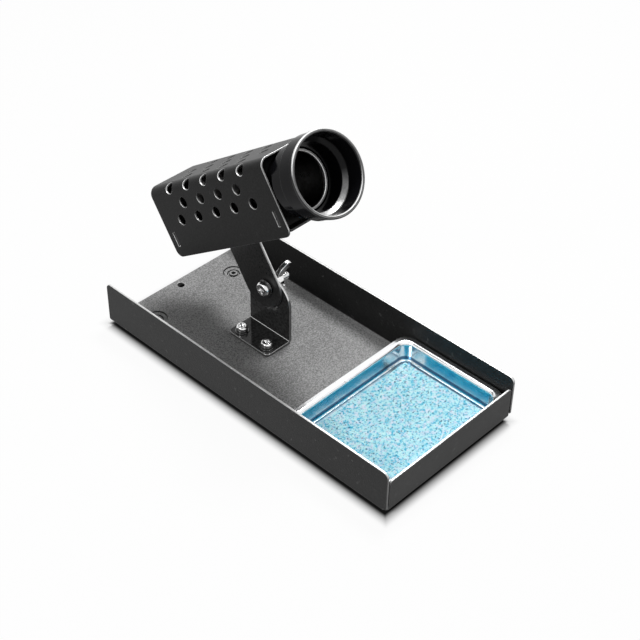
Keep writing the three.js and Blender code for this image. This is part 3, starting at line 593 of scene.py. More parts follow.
# The dish's blue and dark navy are painted reflection and painted shade from the sponge.
DISH_STEEL = pressed_steel(
    "dish_steel",
    tone=(0.88, 0.89, 0.9),
    sponge_reflection=(0.05, 0.5, 0.7),
    gap_shade_tone=(0.012, 0.1, 0.2),
    roughness=0.17,
)
RUBBER = soft_rubber("foot_rubber", 0.035)
SPONGE = cellulose(
    "sponge_cells",
    pale=(0.6, 0.95, 1.0),
    faded=(0.82, 0.87, 1),
    deep=(0.07, 0.53, 0.76),
    side=(0.03, 0.6, 0.82),
    pore=(0.02, 0.13, 0.26),
)


# ---- folds

BEND_STEPS = 8
INNER_BEND = 1  # radius inside the folds of the base, the bracket and the arm


def bent(distance, radius):
    """Run, rise and turn of a strip that goes straight up to 0, then through a square bend."""
    arc = radius * math.pi / 2
    turn = np.clip(distance, 0, arc) / radius
    past = np.maximum(distance - arc, 0)
    run = np.minimum(distance, 0) + radius * np.sin(turn)
    rise = radius * (1 - np.cos(turn)) + past
    return run, rise, turn


def bend_lines(starts, radius, low, high, across=False):
    """Lines over a bend, and one just clear of it on each side, for the mesh to follow."""
    arc = radius * math.pi / 2
    lines = []
    for start, side in starts:
        for k in range(-1, BEND_STEPS + 2):
            at = start + side * arc * k / BEND_STEPS
            ends = [(at, low), (at, high)]
            lines.append([(v, u) for u, v in ends] if across else ends)
    return lines


# ---- base

T_BASE = 1.2
BASE_BEND = INNER_BEND + T_BASE / 2  # to the sheet's middle
SIDE_CORNER = 3
FRONT_CORNER = 2
FRONT_H = 19
FRONT_SLIT = 0.8
RELIEF = 0.4
PANEL_REACH = 0.1  # takes in the front panel's own edge
REAR_HOLE = (0, 91.3, 2)
FOOT_SHANK = 1.7
SCREW_HOLE = 1.75
DIMPLE_STEPS = ((5.8, 5.0), (3.6, 2.8))
DIMPLE_DEPTH = 0.7
DIMPLE_RINGS = 5
DIMPLE_SEGMENTS = 56

half_w, half_l, side_top = box("base_tray")[1]
foot_top = box("bracket")[0][2] - T_BASE
feet = ["foot_front_left", "foot_front_right", "foot_rear_left", "foot_rear_right"]
foot_spots = [centre(foot) for foot in feet]
screw_spots = [centre(f"bracket_screw_{end}") for end in ENDS]
rivet_spots = [centre(f"arm_rivet_{end}", HOLDER) for end in ENDS]


def base_mould(u, v, w):
    flat_x = half_w - T_BASE / 2 - BASE_BEND
    flat_y = half_l - T_BASE / 2 - BASE_BEND
    run, rise, turn = bent(np.abs(u) - flat_x, BASE_BEND)
    x = np.sign(u) * (flat_x + run - w * np.sin(turn))
    z = rise + w * np.cos(turn)
    panel = (np.abs(u) < half_w - T_BASE - FRONT_SLIT + PANEL_REACH) & (v < 0)
    ahead, climb, lean = bent(-v - flat_y, BASE_BEND)
    y = np.where(panel, -(flat_y + ahead - w * np.sin(lean)), v)
    z = np.where(panel & (v < -flat_y), climb + w * np.cos(lean), z)
    for spot in foot_spots:
        away = np.hypot(u - spot[0], v - spot[1])
        for outer, inner in DIMPLE_STEPS:
            t = np.clip((outer - away) / (outer - inner), 0, 1)
            z = z - DIMPLE_DEPTH * t * t * (3 - 2 * t)
    return np.stack([x, y, z + foot_top + T_BASE / 2], 1)


def make_base():
    bend = INNER_BEND + T_BASE
    arc = BASE_BEND * math.pi / 2
    flat_x, flat_y = half_w - bend, half_l - bend
    side = flat_x + arc + side_top - foot_top - bend
    panel = half_w - T_BASE - FRONT_SLIT
    front = -(flat_y + arc + FRONT_H - bend)
    notch = flat_x + arc
    loops = [outline(mirrored([
        (panel, front, FRONT_CORNER), (panel, -flat_y, RELIEF), (notch, -flat_y, RELIEF),
        (notch, -half_l, RELIEF), (side, -half_l, SIDE_CORNER), (side, half_l, SIDE_CORNER),
    ]))]
    loops.append(circle(*REAR_HOLE))
    loops += [circle(*spot[:2], FOOT_SHANK) for spot in foot_spots]
    loops += [circle(*spot[:2], SCREW_HOLE) for spot in screw_spots]
    lines = bend_lines([(flat_x, 1), (-flat_x, -1)], BASE_BEND, -half_l, half_l)
    lines += bend_lines([(-flat_y, -1)], BASE_BEND, -panel, panel, across=True)
    for spot in foot_spots:
        for outer, inner in DIMPLE_STEPS:
            for k in range(DIMPLE_RINGS + 1):
                radius = outer + (inner - outer) * k / DIMPLE_RINGS
                ring = circle(*spot[:2], radius, DIMPLE_SEGMENTS)
                lines.append(np.vstack([ring, ring[:1]]))
    return sheet("base_sheet", loops, base_mould, T_BASE, BASE_PAINT, lines, burr=BASE_BURR_SHARE)


FOOT_PAD = 1.8
FOOT_NECK_R = 1.4
FOOT_PLUG_R = (2.4, 2.2)  # at its shoulder and at its top
FOOT_PLUG_H = 0.8
FOOT_BORE_R = (1.15, 1.05)  # at its mouth and at its end
FOOT_BORE_DEPTH = 1.6


def make_foot(node):
    low, high = box(node)
    r, top = (high[0] - low[0]) / 2, high[2]
    head, bore_end = top - FOOT_PLUG_H, top - FOOT_BORE_DEPTH
    profile = [
        (0, 0, 0), (r, 0, 0.5), (r, FOOT_PAD, 0.25), (FOOT_NECK_R, FOOT_PAD, 0.1),
        (FOOT_NECK_R, head, 0.1), (FOOT_PLUG_R[0], head, 0.2), (FOOT_PLUG_R[1], top, 0.35),
        (FOOT_BORE_R[0], top, 0.25), (FOOT_BORE_R[1], bore_end, 0.1), (0, bore_end, 0),
    ]
    place = moved(*centre(node)[:2], 0)
    return turned(node + "_rubber", profile, RUBBER, place, segments=64)


# ---- bracket and arm

T_ANGLE = 1.5
ANGLE_BEND = INNER_BEND + T_ANGLE / 2
ANGLE_CORNER = 2.5
ANGLE_STEP = math.radians(5)
CREASE_HIGHLIGHT = 1.0
CREASE_HALF = 0.1  # half of the stretch with the painted highlight, as a share of the bend
PIVOT_HOLE = 2.2
RIVET_HOLE = 1.8


def angle_plate(node, name, material, way, spots, hole, pivot, place=HERE, crease=0.0):
    """A strap with screws or rivets through its flat end, bent up (way 1) or down (way -1), and
    half round about the pivot."""
    low, high = box(node, place)
    corner_x = high[0] - INNER_BEND - T_ANGLE
    near, far = (low[2], high[2])[::way]
    middle_z = near + way * T_ANGLE / 2
    arc = ANGLE_BEND * math.pi / 2

    def mould(u, v, w):
        run, rise, turn = bent(u, ANGLE_BEND)
        x = corner_x + run - way * w * np.sin(turn)
        z = middle_z + way * rise + w * np.cos(turn)
        return np.stack([x, v, z], 1)

    def developed(z):
        return arc + way * (z - middle_z) - ANGLE_BEND

    # A painted highlight along the inside of the bend, where its rounding catches the light.
    def face_highlight(u, v, w):
        return np.where((np.abs(u / arc - 0.5) < CREASE_HALF) & (w > 0), crease, 0.0)

    start, end = low[0] - corner_x, developed(far)
    middle, half = (low[1] + high[1]) / 2, (high[1] - low[1]) / 2
    strap = [
        (start, middle - half, ANGLE_CORNER), (end, middle - half, half),
        (end, middle + half, half), (start, middle + half, ANGLE_CORNER),
    ]
    loops = [outline(strap, ANGLE_STEP)]
    loops += [circle(spot[0] - corner_x, spot[1], hole) for spot in spots]
    loops.append(circle(developed(pivot[2]), pivot[1], PIVOT_HOLE))
    lines = bend_lines([(0, 1)], ANGLE_BEND, low[1], high[1])
    return sheet(name, loops, mould, T_ANGLE, material, lines, place=place, face_highlight=face_highlight)


# ---- cover, floor plate, bulkheads

T_COVER = 1
COVER_BEND = 3.7 + T_COVER / 2
COVER_CORNER = 4
VENT_R = 2.75
VENT_PITCH = 15.4
VENT_ROW_PITCH = 8.25
VENT_ROWS = 4  # on each side of the middle row
TOP_VENT_SHARE = 0.25  # share of the edge scuffing and painted highlight that the vents on the flat top get
SLOT_GAP = 0.3
TAB_LOW = 5.9
TAB_HIGH = 13.1
TAB_SHORT = 0.5  # the tabs end this far inside the cover's outer face
T_PLATE = 1.2
PLATE_CORNER = 0.6
FOOT_TAB = 4.5
TAB_CORNER = 0.3
BULKHEAD_CORNER = 3.4
BULKHEAD_BORE = 14.2
BULKHEADS = ("front_bulkhead", "rear_bulkhead")


def tab_slot(bulkhead, start, end, corner):
    """A slot for a bulkhead's tab, between two places across the sheet."""
    near, far = box(bulkhead, HOLDER)
    return outline(rectangle((start, near[1] - SLOT_GAP), (end, far[1] + SLOT_GAP), corner))


def make_cover():
    low, high = box("cover", HOLDER)
    flat = high[0] - T_COVER / 2 - COVER_BEND
    middle_z = high[2] - T_COVER / 2
    arc = COVER_BEND * math.pi / 2
    reach = flat + arc + middle_z - COVER_BEND - low[2]
    middle, half_length = (low[1] + high[1]) / 2, (high[1] - low[1]) / 2

    def mould(u, v, w):
        run, drop, turn = bent(np.abs(u) - flat, COVER_BEND)
        x = np.sign(u) * (flat + run + w * np.sin(turn))
        z = middle_z - drop + w * np.cos(turn)
        return np.stack([x, v, z], 1)

    def rubbed_and_lit(u, v):
        top_vent = (np.abs(u) < flat) & (np.abs(v - middle) < half_length - 2 * T_COVER)
        return np.where(top_vent, TOP_VENT_SHARE, 1)

    loops = [outline(rectangle((-reach, low[1]), (reach, high[1]), COVER_CORNER))]
    for row in range(-VENT_ROWS, VENT_ROWS + 1):
        count = 4 if row % 2 else 5
        for i in range(count):
            y = middle + (i - (count - 1) / 2) * VENT_PITCH
            loops.append(circle(row * VENT_ROW_PITCH, y, VENT_R))
    start, end = reach - TAB_HIGH - SLOT_GAP, reach - TAB_LOW + SLOT_GAP
    for node in BULKHEADS:
        loops += [tab_slot(node, -end, -start, 0.5), tab_slot(node, start, end, 0.5)]
    lines = bend_lines([(flat, 1), (-flat, -1)], COVER_BEND, low[1], high[1])
    return sheet(
        "cover_sheet", loops, mould, T_COVER, COVER_PAINT, lines, place=HOLDER, rubbed_and_lit=rubbed_and_lit
    )


def make_floor_plate():
    low, high = box("holder_floor", HOLDER)
    reach = FOOT_TAB + SLOT_GAP
    loops = [outline(rectangle(low[:2], high[:2], PLATE_CORNER))]
    loops += [tab_slot(node, -reach, reach, 0.4) for node in BULKHEADS]
    loops += [circle(*spot[:2], RIVET_HOLE) for spot in rivet_spots]
    place = moved(0, 0, (low[2] + high[2]) / 2, HOLDER)
    return sheet("floor_plate", loops, flat_mould, T_PLATE, INNER_PAINT, place=place)


def make_bulkhead(node):
    low, high = box(node, HOLDER)
    floor_high = box("holder_floor", HOLDER)[1]
    cover_low = box("cover", HOLDER)[0][2]
    tab_low, tab_high = cover_low + TAB_LOW, cover_low + TAB_HIGH
    edge_x, tab_x = floor_high[0], high[0] - TAB_SHORT
    foot = floor_high[2] + SLOT_GAP
    corners = [(FOOT_TAB, low[2]), (FOOT_TAB, foot), (edge_x, foot), (edge_x, tab_low)]
    corners += [(tab_x, tab_low), (tab_x, tab_high), (edge_x, tab_high)]
    right = [(x, z, TAB_CORNER) for x, z in corners] + [(edge_x, high[2], BULKHEAD_CORNER)]
    bore_z = centre("liner_tube", HOLDER)[2]
    loops = [outline(mirrored(right)), circle(0, bore_z, BULKHEAD_BORE, 80)]
    middle_y = (low[1] + high[1]) / 2

    def mould(u, v, w):
        return np.stack([u, middle_y - w, v], 1)

    return sheet(node + "_plate", loops, mould, T_PLATE, INNER_PAINT, place=HOLDER)


# ---- liner tube and mouth cup

LINER_R = 13.9
LINER_BORE = 13.1
LINER_FLANGE = 14.6
LINER_FLANGE_T = 1.2
BRIGHT_BORE = 1.4  # how far in from the mouth the bore stays bright, before its painted shade starts
BRIGHT_NECK = LINER_FLANGE_T + 0.8
FADE = 0.2

cover_front = box("cover", HOLDER)[0][1]


def in_bore():
    """Axes for what is turned about the bore, with heights out of the mouth from the cover's
    front."""
    bore_z = centre("liner_tube", HOLDER)[2]
    return moved(0, cover_front, bore_z, HOLDER) @ Matrix.Rotation(math.pi / 2, 4, "X")


def make_liner():
    low, high = box("liner_tube", HOLDER)
    tail, face = cover_front - high[1], cover_front - low[1]
    bore, neck, flange = face - BRIGHT_BORE, face - BRIGHT_NECK, face - LINER_FLANGE_T
    profile = [
        (LINER_BORE, face, 0.5), (LINER_BORE, bore + FADE, 0), (LINER_BORE, bore - FADE, 0),
        (LINER_BORE, tail + 0.6, 0), (LINER_BORE, tail, 0.25), (LINER_R, tail, 0.25),
        (LINER_R, neck - FADE, 0), (LINER_R, neck + FADE, 0), (LINER_R, flange, 0.2),
        (LINER_FLANGE, flange, 0.3), (LINER_FLANGE, face, 0.35),
    ]

    # Marks the painted shade: the bore past its bright mouth, and the outside past the neck.
    def mark(radius, height):
        return float(height < (bore if radius < (LINER_BORE + LINER_R) / 2 else neck))

    return turned(
        "liner_tube_steel", profile, LINER_STEEL, in_bore(), closed=True, segments=128, mark=mark
    )


# Strength of the painted highlight on the funnel, and of the lip's scuffing with its painted
# highlight.
FUNNEL_HIGHLIGHT = 0.9
LIP_WEAR_AND_HIGHLIGHT = 2.4
CUP_COLLAR_R = (14.2, 15.3)  # inside and outside, where the cup sits in the cover
CUP_COLLAR_END = 2
CUP_BODY_R = 17.4
CUP_BAND_R = 19.9
CUP_THROAT_R = 14.9
CUP_SEAT = 4.4  # from the cup's tail to the liner's flange
CUP_SEAT_T = 1.5
CUP_STEP = 11.5  # height of the funnel inside and of the shoulder outside
CUP_FUNNEL_R = (16.1, 18.1)
CUP_MOUTH_R = 18.6
CUP_LIP_H = 2.3


def make_cup():
    low, high = box("mouth_cup", HOLDER)
    lip, tail = cover_front - low[1], cover_front - high[1]
    seat, lip_r = tail + CUP_SEAT, high[0]
    collar, outer_collar = CUP_COLLAR_R
    small, large = CUP_FUNNEL_R
    profile = [
        (collar, tail, 0.3), (outer_collar, tail, 0.3), (outer_collar, CUP_COLLAR_END, 0.2),
        (CUP_BODY_R, CUP_COLLAR_END, 0.6), (CUP_BODY_R, CUP_STEP - 0.6, 0.7),
        (CUP_BAND_R, CUP_STEP, 0.7), (CUP_BAND_R, lip - CUP_LIP_H, 0.3),
        (lip_r, lip - CUP_LIP_H, 0.3), (lip_r, lip - 1.1, 0), (lip_r, lip - 0.8, 0),
        (lip_r, lip, 0.55), (CUP_MOUTH_R, lip, 0.5), (CUP_MOUTH_R - 0.02, lip - 0.6, 0),
        (CUP_MOUTH_R - 0.04, lip - 0.9, 0), (large + 0.03, CUP_STEP + 1.5, 0),
        (large, CUP_STEP + 0.9, 0.6), (small, CUP_STEP - 1.0, 0.5),
        (small - 0.1, CUP_STEP - 1.5, 0), (CUP_THROAT_R, seat + CUP_SEAT_T, 0.3),
        (CUP_THROAT_R, seat, 0.2), (collar, seat, 0.2),
    ]

    def mark(radius, height):
        """The funnel gets a painted highlight, and the lip a light ring, partly scuffing and partly
        painted highlight, its crown less than its edges.
        """
        off_slope = radius - (small + large) / 2 - (height - CUP_STEP) * 1.05
        if small - 0.05 < radius < large + 0.02 and abs(off_slope) < 0.4:
            return FUNNEL_HIGHLIGHT
        if radius < large + 0.2 or height < lip - (0.65 if radius < CUP_MOUTH_R + 0.4 else 0.85):
            return 0.0
        return LIP_WEAR_AND_HIGHLIGHT * (0.5 if CUP_MOUTH_R + 0.4 < radius < lip_r - 0.6 else 1)

    return turned(
        "mouth_cup_shell", profile, CUP_PLASTIC, in_bore(), closed=True, segments=160, mark=mark
    )


# ---- fasteners

CROSS = (0.6, 0.14, 0.45)  # a recess's reach, half width and depth, as shares of its head's radius
CROSS_TAPER = ((-1, 0.35), (0.1, 1.0), (0.6, 1.08))  # its size at the bottom and above the head
SCREW_HEAD_R = 3
SCREW_HEAD_H = 2.2
SCREW_SHANK = 1.45
SCREW_TURN = {"bracket_screw_front": 0.5, "bracket_screw_rear": 1.1}
SPRING_SLIT = 0.09  # half of its angle
NUT_BORE = 1.5
RIVET_SHANK = 1.5


def along_x(x, turn=0.0, flip=False):
    """Axes on the pivot, with heights along +X, or along -X if flipped."""
    way = Matrix.Rotation(-math.pi / 2 if flip else math.pi / 2, 4, "Y")
    return moved(x, PIVOT[1], PIVOT[2]) @ Matrix.Rotation(turn, 4, "X") @ way


def screwed(name, profile, radius, head, place, turn, ripple=None):
    """A zinc screw with a tapered cross recess in its head, whose top is at height head."""
    screw = turned(name, profile, ZINC, place, segments=64, ripple=ripple)
    reach, wide, deep = (radius * share for share in CROSS)
    tools = []
    for k in range(2):
        spin = place @ Matrix.Rotation(turn + k * math.pi / 2, 4, "Z")
        points = []
        for height, grow in CROSS_TAPER:
            x, y = reach * grow, wide * (0.6 + 0.4 * grow)
            z = -deep if height < 0 else height
            points += [(-x, -y, z), (x, -y, z), (x, y, z), (-x, y, z)]
        faces = [[3, 2, 1, 0], [8, 9, 10, 11]]
        for low in (0, 4):
            for i in range(4):
                j = (i + 1) % 4
                faces.append([low + i, low + j, low + 4 + j, low + 4 + i])
        tools.append(piece("recess", points, faces, ZINC, place=moved(0, 0, head, spin)))
    return combined(screw, tools, "DIFFERENCE")


def pan_head(radius, height, shank, tail):
    """Profile of a pan-head screw that stands on height 0."""
    return [
        (0, -tail, 0), (shank * 0.8, -tail, 0.1), (shank, -tail + shank * 0.35, 0.15),
        (shank, 0, 0.1), (radius, 0, 0.12), (radius, height * 0.6, 0.5),
        (radius * 0.82, height * 0.97, radius * 0.25), (0, height, 0),
    ]


def make_screw(node):
    low, high = box(node)
    head = high[2] - SCREW_HEAD_H
    place = moved(*centre(node)[:2], head)
    profile = pan_head(SCREW_HEAD_R, SCREW_HEAD_H, SCREW_SHANK, head - low[2])
    return screwed(
        node + "_metal", profile, SCREW_HEAD_R, SCREW_HEAD_H, place, SCREW_TURN[node]
    )


def cut_flat(node, loops, material, edge):
    """A flat piece as thick as its CAD node and in its place."""
    low, high = box(node)
    place = moved(*centre(node))
    return sheet(
        node + "_metal", loops, flat_mould, high[2] - low[2], material, edge=edge, place=place
    )


def make_spring_washer(node):
    low, high = box(node)
    sweep = np.linspace(SPRING_SLIT, 2 * math.pi - SPRING_SLIT, 64)
    ring = np.stack([np.cos(sweep), np.sin(sweep)], 1)
    loop = np.vstack([ring * (high[1] - low[1]) / 2, ring[::-1] * SCREW_HOLE])
    return cut_flat(node, [loop], DARK_ZINC, 0.12)


def make_washer(node, place, inner):
    low, high = box(node)
    thick, width, _ = sorted(high - low)
    outer = width / 2
    profile = [(inner, 0, 0.1), (outer, 0, 0.15), (outer, thick, 0.15), (inner, thick, 0.1)]
    return turned(node + "_metal", profile, DARK_ZINC, place, closed=True, segments=64)


def make_screw_washer(node):
    return make_washer(node, moved(*centre(node)[:2], box(node)[0][2]), SCREW_HOLE)


def make_nut(node):
    low, high = box(node)
    reach = (high[0] - low[0]) / 2
    angles = [k * math.pi / 3 for k in range(6)]
    hexagon = [(reach * math.cos(angle), reach * math.sin(angle), 0.35) for angle in angles]
    return cut_flat(node, [outline(hexagon), circle(0, 0, NUT_BORE)], ZINC, 0.2)


def make_rivet(node):
    low, high = box(node, HOLDER)
    arm_low = box("arm", HOLDER)[1][2] - T_ANGLE - SLOT_GAP
    floor = box("holder_floor", HOLDER)[1][2] + SLOT_GAP
    r = (high[0] - low[0]) / 2
    profile = [
        (0, low[2], 0), (r * 0.75, low[2], 0.8), (r, arm_low, 0.3),
        (RIVET_SHANK, arm_low, 0.1), (RIVET_SHANK, floor, 0.1), (r * 0.85, floor, 0.2),
        (r * 0.7, high[2], 0.4), (0, high[2], 0),
    ]
    place = moved(*centre(node, HOLDER)[:2], 0, HOLDER)
    return turned(node + "_metal", profile, ZINC, place, segments=48)


BOLT_HEAD_R = 4
BOLT_HEAD_H = 3
BOLT_SHANK = 1.9
BOLT_TURN = 0.35
THREAD_PITCH = 0.7
THREAD_DEPTH = 0.28
THREAD_LENGTH = 6.5
THREAD_START = 0.8  # from the bolt's end


def make_bolt():
    low, high = box("pivot_bolt")
    head = low[0] + BOLT_HEAD_H
    tail = high[0] - head
    thread_end = -tail + THREAD_LENGTH
    profile = pan_head(BOLT_HEAD_R, BOLT_HEAD_H, BOLT_SHANK, tail)
    run = np.arange(-tail + THREAD_START, thread_end, THREAD_PITCH / 8)
    profile = profile[:3] + [(BOLT_SHANK, h, 0) for h in run] + profile[3:]

    def thread(angle, radius, height):
        if radius < BOLT_SHANK - 0.01 or not -tail + THREAD_START - 0.05 <= height <= thread_end:
            return 0.0
        phase = (height / THREAD_PITCH - angle / (2 * math.pi)) % 1
        return -THREAD_DEPTH * np.clip(2.4 * np.abs(phase - 0.5) - 0.2, 0, 1)

    place = along_x(head, flip=True)
    name = "pivot_bolt_metal"
    return screwed(name, profile, BOLT_HEAD_R, BOLT_HEAD_H, place, BOLT_TURN, thread)


WING_TURN = math.radians(12)
WING_T = 2.3
WING_EDGE = 0.35
WING_SPAN = 21.2
WING_TIP_R = 2.1
HUB_R = 4
HUB_TOP_R = 3.4
HUB_H = 4.6
NUT_GRAIN = 0.16  # size of the grid that melts the cast nut into one skin
THREAD_HOLE = 2.05


def bow(start, pull, end, steps=10):
    """Points on a curve from start to end, pulled towards a third point."""
    t = np.linspace(0, 1, steps)[:, None]
    start, pull, end = (np.array(p, float) for p in (start, pull, end))
    return (1 - t) ** 2 * start + 2 * t * (1 - t) * pull + t ** 2 * end


def make_wing_nut():
    low, high = box("wing_nut")
    tall = high[0] - low[0]
    reach = WING_SPAN / 2
    place = along_x(low[0], turn=WING_TURN)
    profile = [(0, 0, 0), (HUB_R, 0, 0.4), (HUB_TOP_R, HUB_H, 0.6), (0, HUB_H, 0)]
    hub = turned("wing_nut_metal", profile, ZINC, place, segments=64)
    root = HUB_TOP_R * 0.8
    tip_x, tip_y = reach - WING_TIP_R, tall - WING_TIP_R
    angles = np.linspace(0, math.pi, 14)[1:-1]
    ear = np.vstack([
        [(root, HUB_H * 0.15)],
        bow((HUB_R * 1.1, HUB_H * 0.2), (reach * 0.85, HUB_H * 0.5), (reach, tip_y)),
        np.stack([tip_x + WING_TIP_R * np.cos(angles), tip_y + WING_TIP_R * np.sin(angles)], 1),
        bow((tip_x - WING_TIP_R, tip_y), (HUB_R * 1.25, HUB_H * 1.25), (root, HUB_H * 0.98)),
    ])
    ears = []
    for k in range(2):
        side = place @ Matrix.Rotation(k * math.pi, 4, "Z") @ Matrix.Rotation(math.pi / 2, 4, "X")
        ears.append(sheet("ear", [ear], flat_mould, WING_T, ZINC, edge=WING_EDGE, place=side))
    nut = combined(hub, ears, "UNION")
    remesh = nut.modifiers.new("cast", "REMESH")
    remesh.mode = "VOXEL"
    remesh.voxel_size = NUT_GRAIN * MM
    soft = nut.modifiers.new("soft", "SMOOTH")
    soft.factor = 0.5
    soft.iterations = 5
    applied(nut)
    bore = [(0, -1, 0), (THREAD_HOLE, -1, 0.01), (THREAD_HOLE, tall, 0.01), (0, tall, 0)]
    return combined(nut, [turned("bore", bore, ZINC, place, segments=48)], "DIFFERENCE")


# ---- sponge dish and sponge

T_DISH = 0.8
DISH_CORNER = 7
DISH_RIM = 3.9
DISH_STEP = math.radians(10)
DISH_DRAFT = 0.2
RIM_BEND = 2  # rounding where the well's wall turns out into the rim
WELL_EASE = DISH_RIM / 2  # how much rounder the well's corners are than its rim alone makes them


def make_dish():
    low, high = box("sponge_dish")
    width, length, tall = high - low
    spread = (width / 2 - DISH_CORNER, length / 2 - DISH_CORNER)
    inner = DISH_CORNER - DISH_RIM
    foot = inner - DISH_DRAFT
    profile = [
        (0, 0, 0), (foot + T_DISH, 0, 1.6),
        (inner + T_DISH, tall - T_DISH, RIM_BEND - T_DISH),
        (DISH_CORNER, tall - T_DISH, 0.25), (DISH_CORNER, tall, 0.35),
        (inner, tall, RIM_BEND), (foot, T_DISH, 1.2), (0, T_DISH, 0),
    ]

    def ease(radius):
        return WELL_EASE * min(1, (DISH_CORNER - radius) / (DISH_RIM - T_DISH))

    def inside(radius, height):
        return 1.0 if height > 0.99 * T_DISH and radius < inner + DISH_DRAFT else 0.0

    place = moved(*centre("sponge_dish")[:2], low[2])
    return turned(
        "sponge_dish_steel", profile, DISH_STEEL, place, spread=spread, step=DISH_STEP,
        mark=inside, ease=ease,
    )


SPONGE_CELL = 0.45
SPONGE_LAYERS = 9
SPONGE_ROUND = 0.9
SPONGE_CORNER = 3.6  # the corner that is pushed into the dish's own
PORES = ((2.1, (3, 7, 1), 0.3, 1.65), (0.95, (11, 2, 5), 0.25, 0.35))  # size, seed, share, depth
PORE_MOST = 1.1
WAVE = 0.12


def make_sponge():
    """A cut block of sponge: soft cut edges, slightly wavy faces and open pores."""
    low, high = box("sponge")
    size = high - low
    counts = [int(round(side / SPONGE_CELL)) for side in size[:2]] + [SPONGE_LAYERS]
    index, points, faces = {}, [], []

    def pore(spot):
        return sum(
            depth * max(0.0, noise.noise(Vector(spot) / width + Vector(seed)) - least)
            for width, seed, least, depth in PORES
        )

    def corner(key):
        if key in index:
            return index[key]
        spot = low + size * np.array([at / count for at, count in zip(key, counts)])
        core = np.clip(spot, low + SPONGE_ROUND, high - SPONGE_ROUND)
        out = spot - core
        length = np.linalg.norm(out)
        if length > 0:
            out /= length
            spot = core + out * SPONGE_ROUND
        wave = WAVE * (noise.noise(Vector(spot) / 9) - 0.3)
        spot = spot - out * min(max(pore(spot) - wave, 0.0), PORE_MOST)
        inward = low[:2] + SPONGE_CORNER - spot[:2]
        if min(inward) > 0:
            spot[:2] += inward * (1 - max(inward) / np.linalg.norm(inward))
        index[key] = len(points)
        points.append(spot)
        return index[key]

    for fixed in (2, 0, 1):
        first, second = (axis for axis in range(3) if axis != fixed)
        for level, flip in ((counts[fixed], fixed == 1), (0, fixed != 1)):
            for a in range(counts[first]):
                for b in range(counts[second]):
                    face = []
                    for da, db in ((0, 0), (1, 0), (1, 1), (0, 1)):
                        key = {fixed: level, first: a + da, second: b + db}
                        face.append(corner((key[0], key[1], key[2])))
                    faces.append(face[::-1] if flip else face)
    block = piece("sponge_block", points, faces, SPONGE)
    block.data.set_sharp_from_angle(angle=math.pi)
    return block


# ---- pieces on their bodies


def stand_for(obj, node, body):
    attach(obj, body)
    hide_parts(node)


stand_for(make_base(), "base_tray", "base")
for foot in feet:
    stand_for(make_foot(foot), foot, "base")
bracket = angle_plate(
    "bracket", "bracket_plate", BRACKET_PAINT, 1, screw_spots, SCREW_HOLE, PIVOT,
    crease=CREASE_HIGHLIGHT,
)
stand_for(bracket, "bracket", "base")
for end in ENDS:
    for make, kind, body in (
        (make_screw, "bracket_screw_", "base"),
        (make_spring_washer, "spring_washer_", "base"),
        (make_screw_washer, "screw_washer_", "base"),
        (make_nut, "bracket_nut_", "base"),
        (make_rivet, "arm_rivet_", "holder"),
    ):
        stand_for(make(kind + end), kind + end, body)
stand_for(make_bolt(), "pivot_bolt", "base")
for node, body in (("bolt_washer", "base"), ("clamp_washer", "clamp")):
    washer = make_washer(node, along_x(box(node)[0][0]), PIVOT_HOLE)
    stand_for(washer, node, body)
stand_for(make_wing_nut(), "wing_nut", "wing_nut")
arm = angle_plate(
    "arm", "arm_strap", ARM_PAINT, -1, rivet_spots, RIVET_HOLE, (0, 0, 0), place=HOLDER
)
stand_for(arm, "arm", "holder")
stand_for(make_floor_plate(), "holder_floor", "holder")
for node in BULKHEADS:
    stand_for(make_bulkhead(node), node, "holder")
stand_for(make_cover(), "cover", "holder")
stand_for(make_liner(), "liner_tube", "holder")
stand_for(make_cup(), "mouth_cup", "holder")
stand_for(make_dish(), "sponge_dish", "sponge_dish")
sponge = make_sponge()
stand_for(sponge, "sponge", "sponge")


# ---- floor, light and camera

FLOOR_SIZE = 12  # metres
SHADE_INSET = 3  # how far the paper's shaded patch ends inside the base's front and sides
SHADE_TONE = 0.04
PAPER_TONE = 0.85
SHADE_ENDS = (0.5, 3, 0, 1)  # distances from the patch, and the share of paper tone there
GLOW_STARTS = (0.5, 7.5, 0, 0.95)  # the same for the share of plain white
SKY_LIGHT = 0.13


def beyond_base(paint, low, high, at_low, at_high):
    """Eases from one value to another between two distances outside the shaded patch."""
    patch = ((half_w - SHADE_INSET) * MM, (half_l - SHADE_INSET / 2) * MM, 0)
    shape = paint.add("VectorMath", "Vector", {0: paint.place}, operation="ABSOLUTE")
    past = paint.add("VectorMath", "Vector", {0: shape, 1: patch}, operation="SUBTRACT")
    sides = (paint.add("SeparateXYZ", axis, {"Vector": past}) for axis in "XY")
    away = paint.worked_out("MAXIMUM", *sides)
    smooth = {"interpolation_type": "SMOOTHSTEP"}
    return paint.span(away, low * MM, high * MM, at_low, at_high, **smooth)


def make_floor():
    bpy.ops.mesh.primitive_plane_add(size=FLOOR_SIZE, location=(0, SHADE_INSET / 2 * MM, 0))
    floor = bpy.context.object
    floor.name = "floor"
    paper = Paint("paper", 1, specular=0)
    toned = paper.mixed(beyond_base(paper, *SHADE_ENDS), grey(SHADE_TONE), grey(PAPER_TONE))
    paper.set("Base Color", toned)
    share = paper.product(paper.seen_rays(), beyond_base(paper, *GLOW_STARTS))
    glow = paper.add("Emission", "Emission")
    paper.end_in("Material Output", share, paper.shader.outputs["BSDF"], glow)
    floor.data.materials.append(paper.material)


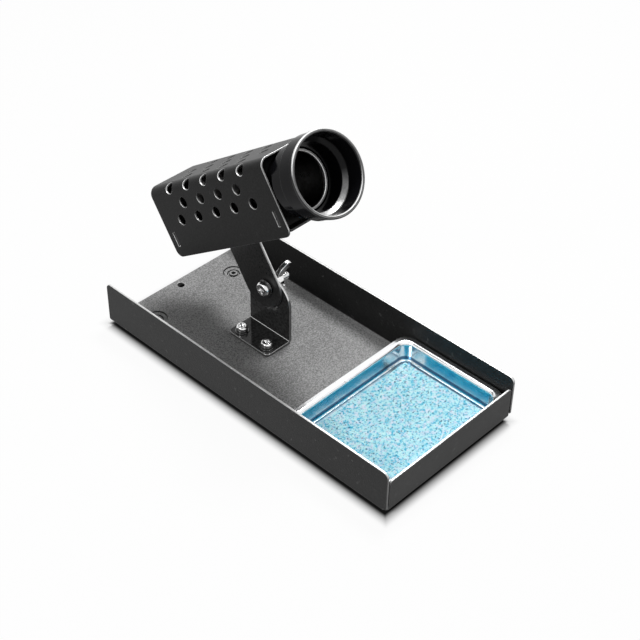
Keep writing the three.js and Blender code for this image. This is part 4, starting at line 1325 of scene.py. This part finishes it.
def make_world():
    world = bpy.data.worlds.new("studio")
    bpy.context.scene.world = world
    sky = Nodes(world)
    dim, white = (
        sky.add("Background", "Background", {"Color": grey(1), "Strength": strength})
        for strength in (SKY_LIGHT, 1)
    )
    sky.end_in("World Output", sky.seen_rays(), dim, white)


LAMP_DISTANCE = 0.85
LAMP_TARGET = (0, 0, 0.05)


def softbox(name, azimuth, elevation, width, power):
    """A square area lamp that looks at the object, placed in degrees and sized in metres."""
    lamp = bpy.data.lights.new(name, "AREA")
    lamp.shape = "RECTANGLE"
    lamp.size = lamp.size_y = width
    lamp.energy = power
    obj = linked(name, lamp)
    way = towards(math.radians(azimuth), math.radians(elevation))
    obj.location = Vector(LAMP_TARGET) + way * LAMP_DISTANCE
    obj.rotation_euler = way.to_track_quat("Z", "Y").to_euler()
    obj.visible_camera = False


def towards(azimuth, elevation):
    """The way to a viewpoint. Azimuth 0 is the front (-Y), and 90 degrees the right (+X)."""
    flat = math.cos(elevation)
    return Vector((math.sin(azimuth) * flat, -math.cos(azimuth) * flat, math.sin(elevation)))


CAMERA_ANGLES = (-46.612, 39.582, 1.037)  # azimuth, elevation and roll in degrees
CAMERA_PLACE = (-0.383757, -0.373747, 0.476700)
CAMERA_LENS = 80.43


def make_camera():
    """The photograph's viewpoint, found by fitting the base's straight edges."""
    azimuth, elevation, roll = (math.radians(angle) for angle in CAMERA_ANGLES)
    back = towards(azimuth, elevation)
    level = Vector((math.cos(azimuth), math.sin(azimuth), 0))
    upright = back.cross(level)
    right = math.cos(roll) * level + math.sin(roll) * upright
    up = math.cos(roll) * upright - math.sin(roll) * level
    data = bpy.data.cameras.new("camera")
    data.sensor_width = 36
    data.lens = CAMERA_LENS
    data.clip_start = 0.01
    data.clip_end = 50
    camera = linked("camera", data)
    turn = Matrix((right, up, back)).transposed().to_4x4()
    camera.matrix_world = Matrix.Translation(CAMERA_PLACE) @ turn
    bpy.context.scene.camera = camera


make_floor()
make_world()
softbox("key", 108, 66, 0.22, 5.2)
softbox("back", 178, 72, 0.2, 0.9)
softbox("top", -8, 62, 0.22, 0.6)
softbox("fill", -92, 34, 0.22, 1.5)
make_camera()
bpy.context.scene.view_settings.view_transform = "Standard"
